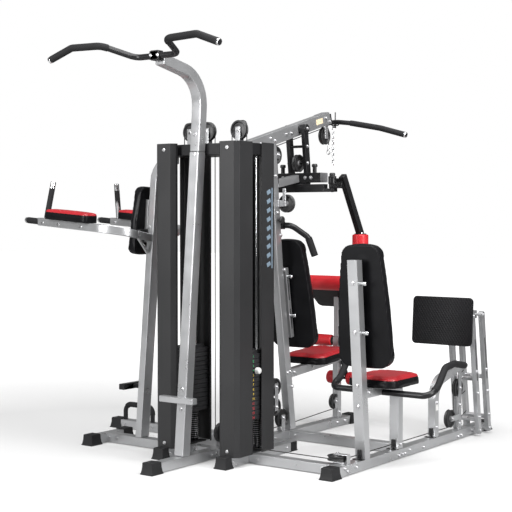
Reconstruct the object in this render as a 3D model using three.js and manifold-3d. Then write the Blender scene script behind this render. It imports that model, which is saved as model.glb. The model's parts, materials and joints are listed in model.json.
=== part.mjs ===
// Multi station home gym: two weight stacks, a pull-up bar, a knee-raise station,
// a press, butterfly and lat station, and a leg press.
// Millimetres, +Z up. X runs from the knee-raise station (-X) to the leg press (+X).
// Y runs the way both seats face. The floor is z = 0.
import * as THREE from 'three';
import { mergeVertices } from 'three/addons/utils/BufferGeometryUtils.js';
import Module from 'manifold-3d';

const wasm = await Module();
wasm.setup();

// ---------------------------------------------------------------- driving dimensions
const GAP = 0.35; // running gap between touching pieces
const BEAM_W = 60; // base tubes
const BEAM_BOTTOM = 5;
const BEAM_TOP = 55;
const FOOT_H = 62; // rubber end shoes of the base tubes
const FOOT_LENGTH = 75;
const ORIGIN_Y = FOOT_LENGTH / 2; // centre of the front shoe, which is the origin

const TOWER_X = 214; // centre of each weight tower from the middle plane
const TOWER_Y = 560;
const TOWER_HALF_X = 67;
const TOWER_HALF_Y = 175;
const TOWER_BEVEL = 22;
const TOWER_GAP = 40; // half the slot between front and rear shroud
const TOWER_TOP = 1700;
const SHEET = 2; // shroud sheet thickness
const ROD_SPACING = 90; // guide rods from the stack's centre
const ROD_R = 9;
const PLATE = 25; // one weight plate
const PLATE_GAP = 1.6;
const STACK_Z = 233; // underside of the lowest plate
const REST_PLATES = 10;
const LIFTED_PLATES = 4;

const CROSS_Y = 565; // front cross beams
const REAR_CROSS_Y = 960;
const TIE_Y = 1255;
const CROSS_Z = 1635; // underside of the beam that joins the tower tops

const PULLEY_R = 52;
const PULLEY_HALF_W = 12;
const PULLEY_BORE = 7;
const CABLE_R = 2.5;
const CABLE_ON_PULLEY = 49; // cable centre line around a pulley
const TOP_PULLEY_Z = 1768;
const LOW_PULLEY_Z = 131;
const LOW_CABLE_Z = LOW_PULLEY_Z - CABLE_ON_PULLEY;
const MAST_CABLE_Y = 1064; // cable up the back of the mast
const TOP_PULLEY_X = 164;

const POST_W = 60; // pull-up post
const BAR_R = 16;

const KNEE_X = -800; // knee-raise foot beam
const KNEE_Y = 565; // middle plane of the knee-raise station
const ARM_SPREAD = 300;

const MAST_HALF_X = 24;
const BOOM_HALF_X = 25;
const BOOM_DEPTH = 75;
const BOOM_SLOPE = 0.266;
const BOOM_START_Y = 676;
const BOOM_END_Y = 1686;
const PRESS_Y = 1340; // press arm pivot
const PRESS_Z = 1826;
const BUTTERFLY_X = 250;
const BUTTERFLY_Y = 1340;
const SEAT_POST_Y = 1790;
const LEG_PIVOT_Z = 430;

const PAD_LENGTH = 645;
const PAD_WIDTH = 318; // back pads at their lower edge
const PAD_TOP_WIDTH = 220;
const SEAT_WIDTH = 300;
const PAD_THICK = 72;
const SEAT_THICK = 56;

const PRESS_X = 800; // middle plane of the leg press
const LEVER_BOTTOM = [1990, 34];
const LEVER_LEAN = [-98, 690];
const LEVER_SPACING = 130;

// ---------------------------------------------------------------- materials
const paint = (colour, roughness, metalness) =>
  new THREE.MeshStandardMaterial({ color: colour, roughness, metalness });
const SILVER = paint(0xc9cacb, 0.38, 0.6);
const BLACK = paint(0x17181a, 0.45, 0.3);
const VINYL = paint(0x151516, 0.5, 0);
const RED = paint(0xb5121b, 0.45, 0);
const RUBBER = paint(0x101010, 0.8, 0);
const IRON = paint(0x1d1d1f, 0.6, 0.4);
const CHROME = paint(0xd8dadc, 0.12, 1);

// ---------------------------------------------------------------- solids
const toSolid = (geometry) => {
  const bare = geometry.clone();
  bare.deleteAttribute('normal');
  bare.deleteAttribute('uv');
  const merged = mergeVertices(bare, 1e-3);
  return new wasm.Manifold(new wasm.Mesh({
    numProp: 3,
    vertProperties: new Float32Array(merged.attributes.position.array),
    triVerts: new Uint32Array(merged.index.array),
  }));
};
const join = (solids) => solids.reduce((all, next) => all.add(next));
const cut = (solid, tools) => tools.reduce((left, tool) => left.subtract(tool), solid);

const box = (x0, x1, y0, y1, z0, z1) => {
  const g = new THREE.BoxGeometry(x1 - x0, y1 - y0, z1 - z0);
  return toSolid(g.translate((x0 + x1) / 2, (y0 + y1) / 2, (z0 + z1) / 2));
};

// A round bar along one axis, centred on (x, y, z).
const rod = (axis, r, length, x, y, z, sides = 16) => {
  const g = new THREE.CylinderGeometry(r, r, length, sides);
  if (axis === 'x') g.rotateZ(-Math.PI / 2);
  if (axis === 'z') g.rotateX(Math.PI / 2);
  return toSolid(g.translate(x, y, z));
};

// A rectangular bar from p to q: wide sideways, deep upwards.
const strut = (p, q, wide, deep) => {
  const from = new THREE.Vector3(...p);
  const to = new THREE.Vector3(...q);
  const along = to.clone().sub(from);
  const length = along.length();
  along.normalize();
  const upright = Math.abs(along.z) > 0.98 ? new THREE.Vector3(0, 1, 0) : new THREE.Vector3(0, 0, 1);
  const side = along.clone().cross(upright).normalize();
  const up = side.clone().cross(along);
  const place = new THREE.Matrix4().makeBasis(along, side.negate(), up);
  place.setPosition(from.add(to).multiplyScalar(0.5));
  return toSolid(new THREE.BoxGeometry(length, wide, deep).applyMatrix4(place));
};

// A bent line: straight runs, each corner rounded to the radius `bend`.
const rounded = (points, bend) => {
  const p = points.map((q) => new THREE.Vector3(...q));
  const route = [p[0]];
  for (let i = 1; i < p.length - 1; i += 1) {
    const back = p[i - 1].clone().sub(p[i]);
    const ahead = p[i + 1].clone().sub(p[i]);
    const half = back.angleTo(ahead) / 2;
    const room = 0.49 * Math.min(back.length(), ahead.length());
    const reach = Math.min(bend / Math.tan(half), room);
    back.normalize();
    ahead.normalize();
    const centre = p[i].clone().add(back.clone().add(ahead).setLength(reach / Math.cos(half)));
    const from = p[i].clone().addScaledVector(back, reach).sub(centre);
    const to = p[i].clone().addScaledVector(ahead, reach).sub(centre);
    const axis = from.clone().cross(to).normalize();
    const sweep = from.angleTo(to);
    const count = Math.max(1, Math.ceil(THREE.MathUtils.radToDeg(sweep) / 13));
    for (let k = 0; k <= count; k += 1) {
      route.push(from.clone().applyAxisAngle(axis, (sweep * k) / count).add(centre));
    }
  }
  return [...route, p[p.length - 1]];
};

// A curve that is sampled exactly at its listed points.
class Route extends THREE.Curve {
  constructor(points) {
    super();
    this.points = points;
  }

  getPointAt(u) {
    return this.points[Math.round(u * (this.points.length - 1))].clone();
  }

  getTangentAt(u) {
    const last = this.points.length - 1;
    const i = Math.round(u * last);
    const here = this.points[i];
    const to = this.points[Math.min(i + 1, last)].clone().sub(here).normalize();
    const from = here.clone().sub(this.points[Math.max(i - 1, 0)]).normalize();
    return to.add(from).normalize();
  }
}
const tube = (points, r, { bend = 60, sides = 12 } = {}) => {
  const circle = new THREE.Shape().absarc(0, 0, r, 0, 2 * Math.PI);
  const route = rounded(points, bend);
  return toSolid(new THREE.ExtrudeGeometry(circle, {
    steps: route.length - 1, extrudePath: new Route(route), curveSegments: sides / 2, bevelEnabled: false,
  }));
};

// Outlines drawn in one plane and given a thickness along the third axis.
const outline = (points) => new THREE.Shape(points.map(([a, b]) => new THREE.Vector2(a, b)));
const slab = (shape, depth, curveSegments = 5) =>
  new THREE.ExtrudeGeometry(shape, { depth, bevelEnabled: false, curveSegments });
const slabYZ = (shape, x0, x1) => {
  const turn = new THREE.Matrix4().makeBasis(
    new THREE.Vector3(0, 1, 0), new THREE.Vector3(0, 0, 1), new THREE.Vector3(1, 0, 0),
  );
  return toSolid(slab(shape, x1 - x0).applyMatrix4(turn).translate(x0, 0, 0));
};
const slabXZ = (shape, y0, y1) => {
  const turn = new THREE.Matrix4().makeBasis(
    new THREE.Vector3(1, 0, 0), new THREE.Vector3(0, 0, 1), new THREE.Vector3(0, -1, 0),
  );
  return toSolid(slab(shape, y1 - y0).applyMatrix4(turn).translate(0, y1, 0));
};
const slabXY = (shape, z0, z1) => toSolid(slab(shape, z1 - z0).translate(0, 0, z0));

// The outline of a tube or sheet that follows a flat centre line.
const ribbon = (centre, width) => {
  const left = [];
  const right = [];
  centre.forEach(([a, b], i) => {
    const [pa, pb] = centre[Math.max(i - 1, 0)];
    const [na, nb] = centre[Math.min(i + 1, centre.length - 1)];
    const before = Math.atan2(b - pb, a - pa);
    const after = Math.atan2(nb - b, na - a);
    const first = i === 0 ? after : before;
    const last = i === centre.length - 1 ? before : after;
    let turn = last - first;
    if (turn > Math.PI) turn -= 2 * Math.PI;
    if (turn < -Math.PI) turn += 2 * Math.PI;
    const mid = first + turn / 2;
    const reach = width / 2 / Math.cos(turn / 2);
    left.push([a - Math.sin(mid) * reach, b + Math.cos(mid) * reach]);
    right.push([a + Math.sin(mid) * reach, b - Math.cos(mid) * reach]);
  });
  return outline([...left, ...right.reverse()]);
};

// Points of a circular arc, angles in degrees.
const arc = (ca, cb, r, from, to, steps) => Array.from({ length: steps + 1 }, (_, i) => {
  const t = THREE.MathUtils.degToRad(from + ((to - from) * i) / steps);
  return [ca + r * Math.cos(t), cb + r * Math.sin(t)];
});

const roundedRect = (width, height, top, bottom) => {
  const w = width / 2;
  const h = height / 2;
  return outline([
    ...arc(w - bottom, -h + bottom, bottom, -90, 0, 4),
    ...arc(w - top, h - top, top, 0, 90, 5),
    ...arc(-w + top, h - top, top, 90, 180, 5),
    ...arc(-w + bottom, -h + bottom, bottom, 180, 270, 4),
  ]);
};

// A pad that narrows towards its top: the sides follow a parabola, and the corners are round.
const taperedPad = (width, topWidth, length, top, bottom) => {
  const h = length / 2;
  const half = (t) => (topWidth + (width - topWidth) * (1 - t * t)) / 2; // t runs from 0 below to 1 above
  const lower = rounded([
    [-half(0.5), 0, 0], [-half(0.25), -h / 2, 0], [-half(0), -h, 0],
    [half(0), -h, 0], [half(0.25), -h / 2, 0], [half(0.5), 0, 0],
  ], bottom);
  const upper = rounded([
    [half(0.5), 0, 0], [half(0.75), h / 2, 0], [half(1), h, 0],
    [-half(1), h, 0], [-half(0.75), h / 2, 0], [-half(0.5), 0, 0],
  ], top);
  return outline([...lower, ...upper.slice(1, -1)].map((q) => [q.x, q.y]));
};

// A grooved cable pulley with a bore, about the X, Y or Z axis.
const pulley = (axis, x, y, z) => {
  const w = PULLEY_HALF_W;
  const rim = PULLEY_R;
  const groove = CABLE_ON_PULLEY - CABLE_R - 0.8;
  const profile = [
    [PULLEY_BORE, -w], [rim, -w], [rim, -w + 3], [groove, -3], [groove, 3],
    [rim, w - 3], [rim, w], [PULLEY_BORE, w], [PULLEY_BORE, -w],
  ].map(([r, h]) => new THREE.Vector2(r, h));
  const g = new THREE.LatheGeometry(profile, 20);
  if (axis === 'x') g.rotateZ(-Math.PI / 2);
  if (axis === 'z') g.rotateX(Math.PI / 2);
  return toSolid(g.translate(x, y, z));
};

// Two cheeks and an axle that carry a pulley about X or Y, hung from or stood on `reach`.
const cheeks = (axis, x, y, z, reach, width = 34) => {
  const inner = PULLEY_HALF_W + 1.5;
  const parts = [rod(axis, PULLEY_BORE - 0.6, 2 * inner + 8, x, y, z, 12)];
  const low = Math.min(z - width / 2, reach);
  const high = Math.max(z + width / 2, reach);
  [-1, 1].forEach((side) => {
    const a = side * (inner + 2);
    parts.push(axis === 'x'
      ? box(x + a - 2, x + a + 2, y - width / 2, y + width / 2, low, high)
      : box(x - width / 2, x + width / 2, y + a - 2, y + a + 2, low, high));
  });
  return join(parts);
};

const group = new THREE.Group();
const add = (name, solid, material) => {
  const data = solid.getMesh();
  const g = new THREE.BufferGeometry();
  g.setAttribute('position', new THREE.BufferAttribute(new Float32Array(data.vertProperties), 3));
  g.setIndex(new THREE.BufferAttribute(new Uint32Array(data.triVerts), 1));
  const mesh = new THREE.Mesh(g, material);
  mesh.name = name;
  group.add(mesh);
};

// The same with its pulley held fast.
const fixedPulley = (axis, x, y, z, reach, width) => join([
  cheeks(axis, x, y, z, reach, width),
  pulley(axis, x, y, z),
  rod(axis, PULLEY_BORE + 3, 2 * PULLEY_HALF_W + 3, x, y, z, 12),
]);

// ---------------------------------------------------------------- base frame
// A rubber shoe closes the end of a base tube and flares out to a flat sole.
const shoe = (x, y, along, toward, length = FOOT_LENGTH) => {
  const half = BEAM_W / 2 + 3;
  const [a0, a1] = toward > 0 ? [0, length] : [-length, 0];
  const flare = 8;
  const block = along === 'y'
    ? box(x - half, x + half, y + a0, y + a1, 0, FOOT_H)
    : box(x + a0, x + a1, y - half, y + half, 0, FOOT_H);
  const sole = along === 'y'
    ? box(x - half - flare, x + half + flare, y + a0 - flare, y + a1 + flare, 0, 6)
    : box(x + a0 - flare, x + a1 + flare, y - half - flare, y + half + flare, 0, 6);
  return block.add(sole);
};
const beamY = (x, y0, y1) => box(x - BEAM_W / 2, x + BEAM_W / 2, y0, y1, BEAM_BOTTOM, BEAM_TOP);
const beamX = (y, x0, x1) => box(x0, x1, y - BEAM_W / 2, y + BEAM_W / 2, BEAM_BOTTOM, BEAM_TOP);

const towerInner = TOWER_X - BEAM_W / 2 - GAP;
const towerOuter = TOWER_X + BEAM_W / 2 + GAP;
const rearFace = REAR_CROSS_Y - BEAM_W / 2 - GAP;

add('front_spine_beam', join([
  beamY(0, 30, CROSS_Y),
  beamX(CROSS_Y, -towerInner, towerInner),
  shoe(0, 0, 'y', 1),
  fixedPulley('x', 0, TOWER_Y + CABLE_ON_PULLEY, LOW_PULLEY_Z, BEAM_TOP - 6, 46),
]), SILVER);
[['left', -1], ['right', 1]].forEach(([side, s]) => {
  add(`tower_base_${side}`, join([
    beamY(s * TOWER_X, 345, rearFace),
    shoe(s * TOWER_X, 330, 'y', 1, TOWER_Y - TOWER_HALF_Y - 331),
  ]), SILVER);
});
add('knee_raise_base', join([
  beamX(CROSS_Y, KNEE_X, -towerOuter),
  beamY(KNEE_X, 420, 720),
  shoe(KNEE_X, 395, 'y', 1),
  shoe(KNEE_X, 745, 'y', -1),
]), SILVER);
add('rear_cross_beam', join([
  beamX(REAR_CROSS_Y, -1080, TOWER_X + BEAM_W / 2),
  shoe(-1110, REAR_CROSS_Y, 'x', 1),
  box(TOWER_X - 30, TOWER_X + 30, REAR_CROSS_Y - 30, REAR_CROSS_Y + 38, 0, BEAM_BOTTOM + 1),
]), SILVER);
add('push_up_handle', tube([
  [-1020, REAR_CROSS_Y, BEAM_TOP + GAP], [-1020, REAR_CROSS_Y, 150],
  [-800, REAR_CROSS_Y, 150], [-800, REAR_CROSS_Y, BEAM_TOP + GAP],
], 15, { bend: 62 }), BLACK);
add('rear_spine_beam', join([
  beamY(0, REAR_CROSS_Y + BEAM_W / 2 + GAP, 1940),
  beamX(TIE_Y, 0, PRESS_X - BEAM_W / 2 - GAP),
  shoe(0, 1975, 'y', -1),
  fixedPulley('x', 0, MAST_CABLE_Y - CABLE_ON_PULLEY, LOW_PULLEY_Z, BEAM_TOP - 6),
]), SILVER);
// A horizontal pulley turns the leg press cable along the base beam.
const CORNER = [PRESS_X - CABLE_ON_PULLEY, TOWER_Y + CABLE_ON_PULLEY, LOW_CABLE_Z];
const [cornerX, cornerY] = CORNER;
const cornerBracket = [
  rod('z', PULLEY_BORE - 0.6, 34, cornerX, cornerY, 84, 12),
  box(cornerX - 16, PRESS_X + 20, cornerY - 16, cornerY + 16, 98, 103),
  box(PRESS_X + 15, PRESS_X + 20, cornerY - 16, cornerY + 16, BEAM_TOP - 5, 103),
  box(cornerX - 16, PRESS_X, cornerY - 16, cornerY + 16, BEAM_TOP - 5, 66),
];
add('leg_press_base', join([
  ...cornerBracket,
  beamY(PRESS_X, 460, 2200),
  beamX(CROSS_Y, towerOuter, PRESS_X),
  shoe(PRESS_X, 430, 'y', 1),
  shoe(PRESS_X, 2240, 'y', -1),
  ...[0, 1].map((i) => rod('x', 12, 180, PRESS_X, LEVER_BOTTOM[0] + i * LEVER_SPACING, LEVER_BOTTOM[1], 16)),
]), SILVER);

// ---------------------------------------------------------------- weight towers
// Half a shroud in plan: the outer side wall, the bevels, the face and a short inner return.
const shroudPlan = (outer, end) => {
  const x = TOWER_HALF_X - SHEET / 2;
  const y = TOWER_HALF_Y - SHEET / 2;
  return ribbon([
    [outer * x, end * TOWER_GAP], [outer * x, end * (y - TOWER_BEVEL)],
    [outer * (x - TOWER_BEVEL), end * y], [-outer * (x - TOWER_BEVEL), end * y],
    [-outer * x, end * (y - TOWER_BEVEL)], [-outer * x, end * (y - TOWER_BEVEL - 14)],
  ], SHEET);
};
const stackBase = STACK_Z - 120;
const plateAt = (i) => STACK_Z + i * PLATE;
const pinPlate = REST_PLATES; // the pin holds the lowest lifted plate
const pinZ = plateAt(pinPlate) + PLATE / 2;

[['left', -1], ['right', 1]].forEach(([side, s]) => {
  const cx = s * TOWER_X;
  [['front', -1], ['rear', 1]].forEach(([place, end]) => {
    const wall = slabXY(shroudPlan(s, end), BEAM_TOP + GAP, TOWER_TOP).translate([cx, TOWER_Y, 0]);
    add(`shroud_${side}_${place}`, wall, BLACK);
  });

  // Guide rods stand on a foot plate; a buffer sleeve on each carries the stack.
  const rods = [box(cx - 50, cx + 50, TOWER_Y - 125, TOWER_Y + 125, BEAM_TOP + GAP, 63)];
  [-1, 1].forEach((end) => {
    const y = TOWER_Y + end * ROD_SPACING;
    rods.push(rod('z', ROD_R, CROSS_Z - GAP - 60, cx, y, (CROSS_Z - GAP + 60) / 2));
    rods.push(rod('z', 15, STACK_Z - GAP - 60, cx, y, (STACK_Z - GAP + 60) / 2));
  });
  if (s > 0) {
    rods.push(fixedPulley('y', TOP_PULLEY_X, TOWER_Y, LOW_PULLEY_Z, 60, 46));
  }
  add(`guide_rods_${side}`, join(rods), CHROME);

  // Plates are separate slabs held together here by a core, so their edges still show.
  const slabs = (first, count) => {
    const z0 = plateAt(first);
    const parts = [box(cx - 40, cx + 40, TOWER_Y - 140, TOWER_Y + 140, z0, z0 + count * PLATE - PLATE_GAP)];
    for (let i = 0; i < count; i += 1) {
      const z = plateAt(first + i);
      parts.push(box(cx - 50, cx + 50, TOWER_Y - 150, TOWER_Y + 150, z, z + PLATE - PLATE_GAP));
    }
    return join(parts);
  };
  const rodHoles = (z0, z1) => [-1, 1].map((end) =>
    rod('z', ROD_R + 2, z1 - z0, cx, TOWER_Y + end * ROD_SPACING, (z0 + z1) / 2, 12));
  add(`rest_plates_${side}`, cut(slabs(0, REST_PLATES), [
    ...rodHoles(200, 700), rod('z', 14, 500, cx, TOWER_Y, 400),
  ]), IRON);
  const headZ = plateAt(REST_PLATES + LIFTED_PLATES);
  add(`lifted_plates_${side}`, cut(join([
    slabs(REST_PLATES, LIFTED_PLATES),
    box(cx - 38, cx + 38, TOWER_Y - 125, TOWER_Y + 125, headZ - PLATE_GAP - 1, headZ + 16),
    rod('z', 11, headZ + 50 - STACK_Z - 20, cx, TOWER_Y, (headZ + 50 + STACK_Z + 20) / 2),
  ]), [
    ...rodHoles(400, 700), rod('x', 5.6, 72, cx + s * 34, TOWER_Y, pinZ, 12),
  ]), IRON);
  add(`selector_pin_${side}`, join([
    rod('x', 5, 66, cx + s * 32, TOWER_Y, pinZ, 12),
    rod('x', 17, 26, cx + s * 73, TOWER_Y, pinZ, 16),
  ]), CHROME);
});
const cross = join([
  box(-TOWER_X - 62, TOWER_X + 62, 445, 675, CROSS_Z, TOWER_TOP - 5),
  ...[-TOP_PULLEY_X, -CABLE_ON_PULLEY].map((x) =>
    fixedPulley('y', x, TOWER_Y, TOP_PULLEY_Z, TOWER_TOP - 6)),
  cheeks('y', TOP_PULLEY_X, TOWER_Y, TOP_PULLEY_Z, TOWER_TOP - 6),
]);
const cableHole = (x) => rod('z', CABLE_R + 4, 120, x, TOWER_Y, CROSS_Z + 30, 10);
add('top_cross_member', cut(cross, [
  -TOWER_X, TOWER_X, 0, TOP_PULLEY_X - CABLE_ON_PULLEY,
].map(cableHole)), BLACK);
add('top_pulley_right', pulley('y', TOP_PULLEY_X, TOWER_Y, TOP_PULLEY_Z), BLACK);

// ---------------------------------------------------------------- pull-up station
const SPLICE_Z = 1650;
const postFoot = [247, BEAM_TOP + GAP];
const lean = (z) => postFoot[0] + ((z - postFoot[1]) * 133) / 1600;
add('pull_up_post_lower', slabYZ(
  ribbon([[lean(BEAM_TOP) + 30, BEAM_TOP], [lean(SPLICE_Z) + 30, SPLICE_Z]], POST_W),
  -POST_W / 2, POST_W / 2,
).intersect(box(-200, 200, 0, 700, BEAM_TOP + GAP, SPLICE_Z))
  .add(box(-121, 106, lean(336) - 38, lean(336) + 2, 336, 368)), SILVER); // with its welded foot rest

// The upper post carries straight on, then curves forward to the bar.
const postTop = [
  [lean(SPLICE_Z) + 30, SPLICE_Z], [lean(1850) + 28, 1850],
  ...arc(252, 1900, 175, 0, 78, 8), [90, 2111],
];
const POST_END = 106; // the post is cut off upright here, where the bar's clamp sits
add('pull_up_post_upper', slabYZ(ribbon(postTop, POST_W - 4), -POST_W / 2, POST_W / 2)
  .intersect(box(-200, 200, POST_END, 700, SPLICE_Z + GAP, 2300)), SILVER);

const barHalf = [[140, 84, 2121], [215, -95, 2168], [412, -105, 2172], [560, -117, 2118]];
add('pull_up_bar', join([
  tube([...barHalf.map(([x, y, z]) => [-x, y, z]).reverse(), ...barHalf], BAR_R, { bend: 55 }),
  box(-22, 22, 62, POST_END - GAP, 2098, 2146),
]), BLACK);

// ---------------------------------------------------------------- knee-raise station
const kneeX = (z) => -534 + 0.074 * (z - 60);
const kneeArc = arc(-294, 1500, 122, 180, 90, 6);
const kneePath = [[kneeX(BEAM_TOP), BEAM_TOP], ...kneeArc, [-TOWER_X - 70, 1622]];
add('knee_raise_upright', slabXZ(ribbon(kneePath, 45), KNEE_Y - 35, KNEE_Y + 35)
  .intersect(box(-700, -TOWER_X - TOWER_HALF_X - GAP, 0, 900, BEAM_TOP + GAP, 1700)), SILVER);
add('knee_raise_step', join([
  box(-620, -580, KNEE_Y - 100, KNEE_Y + 100, 330, 362),
  box(-582, kneeX(334) - 24, KNEE_Y - 20, KNEE_Y + 20, 334, 358),
]), BLACK);

const ARM_Z = 1234; // height of the straight arms, carried on to the upright
const ARM_RISE = 0.078; // rise per millimetre towards -X
const ARM_DIP = 0.18; // fall per millimetre where the arms curve in to the upright
const armZ = (x, y) => ARM_Z + (-440 - x) * ARM_RISE
  - ARM_DIP * Math.max(0, ARM_SPREAD - 20 - Math.abs(y - KNEE_Y));
[['near', -1], ['far', 1]].forEach(([side, s]) => {
  const y = KNEE_Y + s * ARM_SPREAD;
  const plan = [
    [-440, KNEE_Y + s * (35 + GAP)], ...arc(-590, KNEE_Y + s * 150, 150, 0, s * 90, 6), [-1040, y],
  ];
  const flat = slabXY(ribbon(plan, 40), -22, 22);
  // Shear the flat arm so that it climbs towards its handles.
  const climbing = flat.warp((v) => { v[2] += armZ(v[0], v[1]); });
  const gripX = -984;
  add(`knee_raise_arm_${side}`, join([
    climbing,
    tube([[gripX, y, armZ(gripX, y)], [-968, y - s * 38, 1505]], 14),
    tube([[-1030, y, armZ(-1030, y)], [-1150, y, armZ(-1150, y)]], 16),
    tube([[-443, KNEE_Y + s * 135, 1196], [-452, KNEE_Y + s * 44, 1107]], 9),
  ]), SILVER);
  const pad = slabXY(roundedRect(330, 112, 26, 26), 22 + GAP, 78)
    .translate([-795, y, 0]).warp((v) => { v[2] += armZ(v[0], y); });
  add(`forearm_pad_${side}`, pad, VINYL);
});
const KNEE_PAD_LEAN = 4.2;
add('knee_raise_back_pad', join([
  slabYZ(taperedPad(205, 130, 385, 40, 40), -62, 0),
  box(-2, 21, -24, 24, -120, 120),
]).rotate([0, KNEE_PAD_LEAN, 0]).translate([kneeX(1285) - 45, KNEE_Y, 1285]), VINYL);

// ---------------------------------------------------------------- main station frame
// The cable leaves the mast's top pulley along the boom's slope and meets the lat pulley.
const MAST_PULLEY = [0, 1120, 1662];
const boomAngle = Math.atan(BOOM_SLOPE);
const cableOver = (y) => MAST_PULLEY[2] + CABLE_ON_PULLEY / Math.cos(boomAngle) + BOOM_SLOPE * (y - MAST_PULLEY[1]);
const LAT_Y = 1640;
const LAT_PULLEY = [0, LAT_Y, cableOver(LAT_Y) - CABLE_ON_PULLEY / Math.cos(boomAngle)];
const boomTop = (y) => 1744 + BOOM_SLOPE * (y - 895);
const boomBottom = (y) => boomTop(y) - BOOM_DEPTH;
const mastFront = [[1303, BEAM_TOP + GAP], [1219, 640], [1170, 990], [1128, 1400], [1100, boomBottom(1100) - GAP]];
const mastRear = [[1048, boomBottom(1048) - GAP], [1073, 1400], [1115, 990], [1164, 640], [1248, BEAM_TOP + GAP]];
const stopBar = strut([0, 1120, 1497], [0, 1334, 1533], 46, 44);
const SWIVEL = [62, 1150, 1384]; // a pulley on an angle bracket beside the mast
const swivel = join([
  box(MAST_HALF_X - 4, 72, 1121, 1129, 1366, 1402), box(50, 72, 1121, 1129, 1366, 1470),
  rod('y', PULLEY_BORE + 3, 44, 62, 1146, 1384, 12), pulley('y', ...SWIVEL),
]);
add('mast', join([
  cut(slabYZ(outline([...mastFront, ...mastRear]), -MAST_HALF_X, MAST_HALF_X), [
    box(-15, 15, 1030, 1090, 1330, 1716),
    box(-15, 15, 1030, 1190, 1602, 1716),
  ]),
  stopBar,
  swivel,
  box(15, 21, 1075, 1138, 1642, 1682),
  box(-21, -15, 1075, 1138, 1642, 1682),
  pulley('x', ...MAST_PULLEY),
  rod('x', PULLEY_BORE + 3, 2 * MAST_HALF_X + 6, ...MAST_PULLEY, 12),
]), SILVER);

const boomShape = outline([
  [BOOM_START_Y, boomBottom(BOOM_START_Y)], [BOOM_END_Y, boomBottom(BOOM_END_Y)],
  [BOOM_END_Y - 30, boomTop(BOOM_END_Y - 30)], [BOOM_START_Y, boomTop(BOOM_START_Y)],
]);
// Two prongs hold the lat bar; the left one ends in a tall finger.
const BAR_REST = [1764, 1895];
const prong = [[1650, 1927], [1725, 1885], [1748, 1874], [1764, 1872], [1778, 1876], [1785, 1890]];
const hanger = join([
  slabYZ(ribbon([...prong, [1786, 1957]], 7), -17, -11),
  slabYZ(ribbon([...prong, [1786, 1900]], 7), 11, 17),
]);
add('boom', cut(join([
  slabYZ(boomShape, -BOOM_HALF_X, BOOM_HALF_X),
  hanger,
  cheeks('x', ...LAT_PULLEY, boomBottom(LAT_Y) + 12),
]), [rod('x', 13, 200, 0, PRESS_Y, PRESS_Z)]), SILVER);
add('lat_pulley', pulley('x', ...LAT_PULLEY), BLACK);

// The bar rests in the hanger at the boom's end, with an eye plate for its chain.
const [restY, restZ] = BAR_REST;
const latHalf = [[120, restY, 1881], [320, restY, 1843], [500, restY, 1793]];
const CHAIN_Y = restY - 25;
add('lat_bar', join([
  tube([...latHalf.map(([x, y, z]) => [-x, y, z]).reverse(), [0, restY, restZ], ...latHalf], 15, { bend: 300 }),
  box(-3, 3, CHAIN_Y - 5, restY + 6, 1856, 1866),
  box(-3, 3, restY - 8, restY + 6, 1856, 1880),
]), BLACK);

const LINKS = 13;
const LINK_PITCH = 17;
const chainTop = 1856 - GAP;
const link = (i) => {
  const z = chainTop - 14.5 - i * LINK_PITCH;
  const g = new THREE.TorusGeometry(7.5, 2.2, 5, 8).scale(1, 1.45, 1).rotateX(Math.PI / 2);
  if (i % 2) g.rotateZ(Math.PI / 2);
  return toSolid(g.translate(0, CHAIN_Y, z));
};
add('lat_chain', join([
  rod('z', 1.6, LINKS * LINK_PITCH - 4, 0, CHAIN_Y, chainTop - (LINKS * LINK_PITCH) / 2 - 2, 6),
  ...Array.from({ length: LINKS }, (_, i) => link(i)),
]), CHROME);

// The cable ends below the lat pulley in a clip that the chain hooks on to.
const latCableY = LAT_Y + CABLE_ON_PULLEY;
const CLIP_TOP = 1744;
add('cable_end_clip', join([
  rod('z', 6, 26, 0, latCableY, CLIP_TOP - 13, 12),
  toSolid(new THREE.TorusGeometry(11, 3, 8, 16).scale(1, 1.3, 1).rotateX(Math.PI / 2)
    .translate(0, latCableY, CLIP_TOP - 38)),
]), CHROME);

// A U-shaped handle clamped round the mast above the back pad.
add('shoulder_handle_bar', join([
  box(-30, 30, 1145.5, 1180, 1236, 1280),
  tube([[-180, 1265, 1080], [-150, 1240, 1190], [-75, 1178, 1258], [75, 1178, 1258],
    [150, 1240, 1190], [180, 1265, 1080]], 16, { bend: 60 }),
]), BLACK);

// ---------------------------------------------------------------- press arm and butterfly
const PRESS_SPREAD = 56; // centre of each upright from the middle plane
const PRESS_BLOCK = [1374, 1538]; // where the uprights meet the cross block
const PRESS_PULLEY = [0, 1356, 1624];
const [blockY, blockZ] = PRESS_BLOCK;
add('press_arm', cut(join([
  ...[-1, 1].map((s) => rod('x', 25, 50, s * 51, PRESS_Y, PRESS_Z, 20)),
  rod('x', 12.4, 140, 0, PRESS_Y, PRESS_Z, 16),
  ...[-1, 1].map((s) => strut([s * PRESS_SPREAD, PRESS_Y, PRESS_Z], [s * PRESS_SPREAD, ...PRESS_BLOCK], 22, 46)),
  rod('x', 8, 2 * PRESS_SPREAD, 0, 1353, 1722, 12),
  box(-135, 168, blockY - 34, blockY + 46, blockZ - 28, blockZ + 28),
  box(-60, 60, blockY - 50, blockY + 26, 1462, blockZ),
  box(-205, 205, BUTTERFLY_Y - 22, BUTTERFLY_Y + 22, 1452, 1498),
  box(-274, 274, BUTTERFLY_Y - 19, BUTTERFLY_Y + 19, 1452, 1472),
  rod('x', PULLEY_BORE - 0.6, 2 * PRESS_SPREAD, ...PRESS_PULLEY, 12),
  ...[-122, 105].map((x) => rod('z', 12, 40, x, blockY, blockZ + 42, 12)),
]), [
  rod('z', 9.4, 200, BUTTERFLY_X, BUTTERFLY_Y, 1480, 16),
  rod('z', 9.4, 200, -BUTTERFLY_X, BUTTERFLY_Y, 1480, 16),
  box(-90, 90, 1200, BUTTERFLY_Y + 1, 1499, 1570), // room for the mast's stop bar
]), BLACK);
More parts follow.
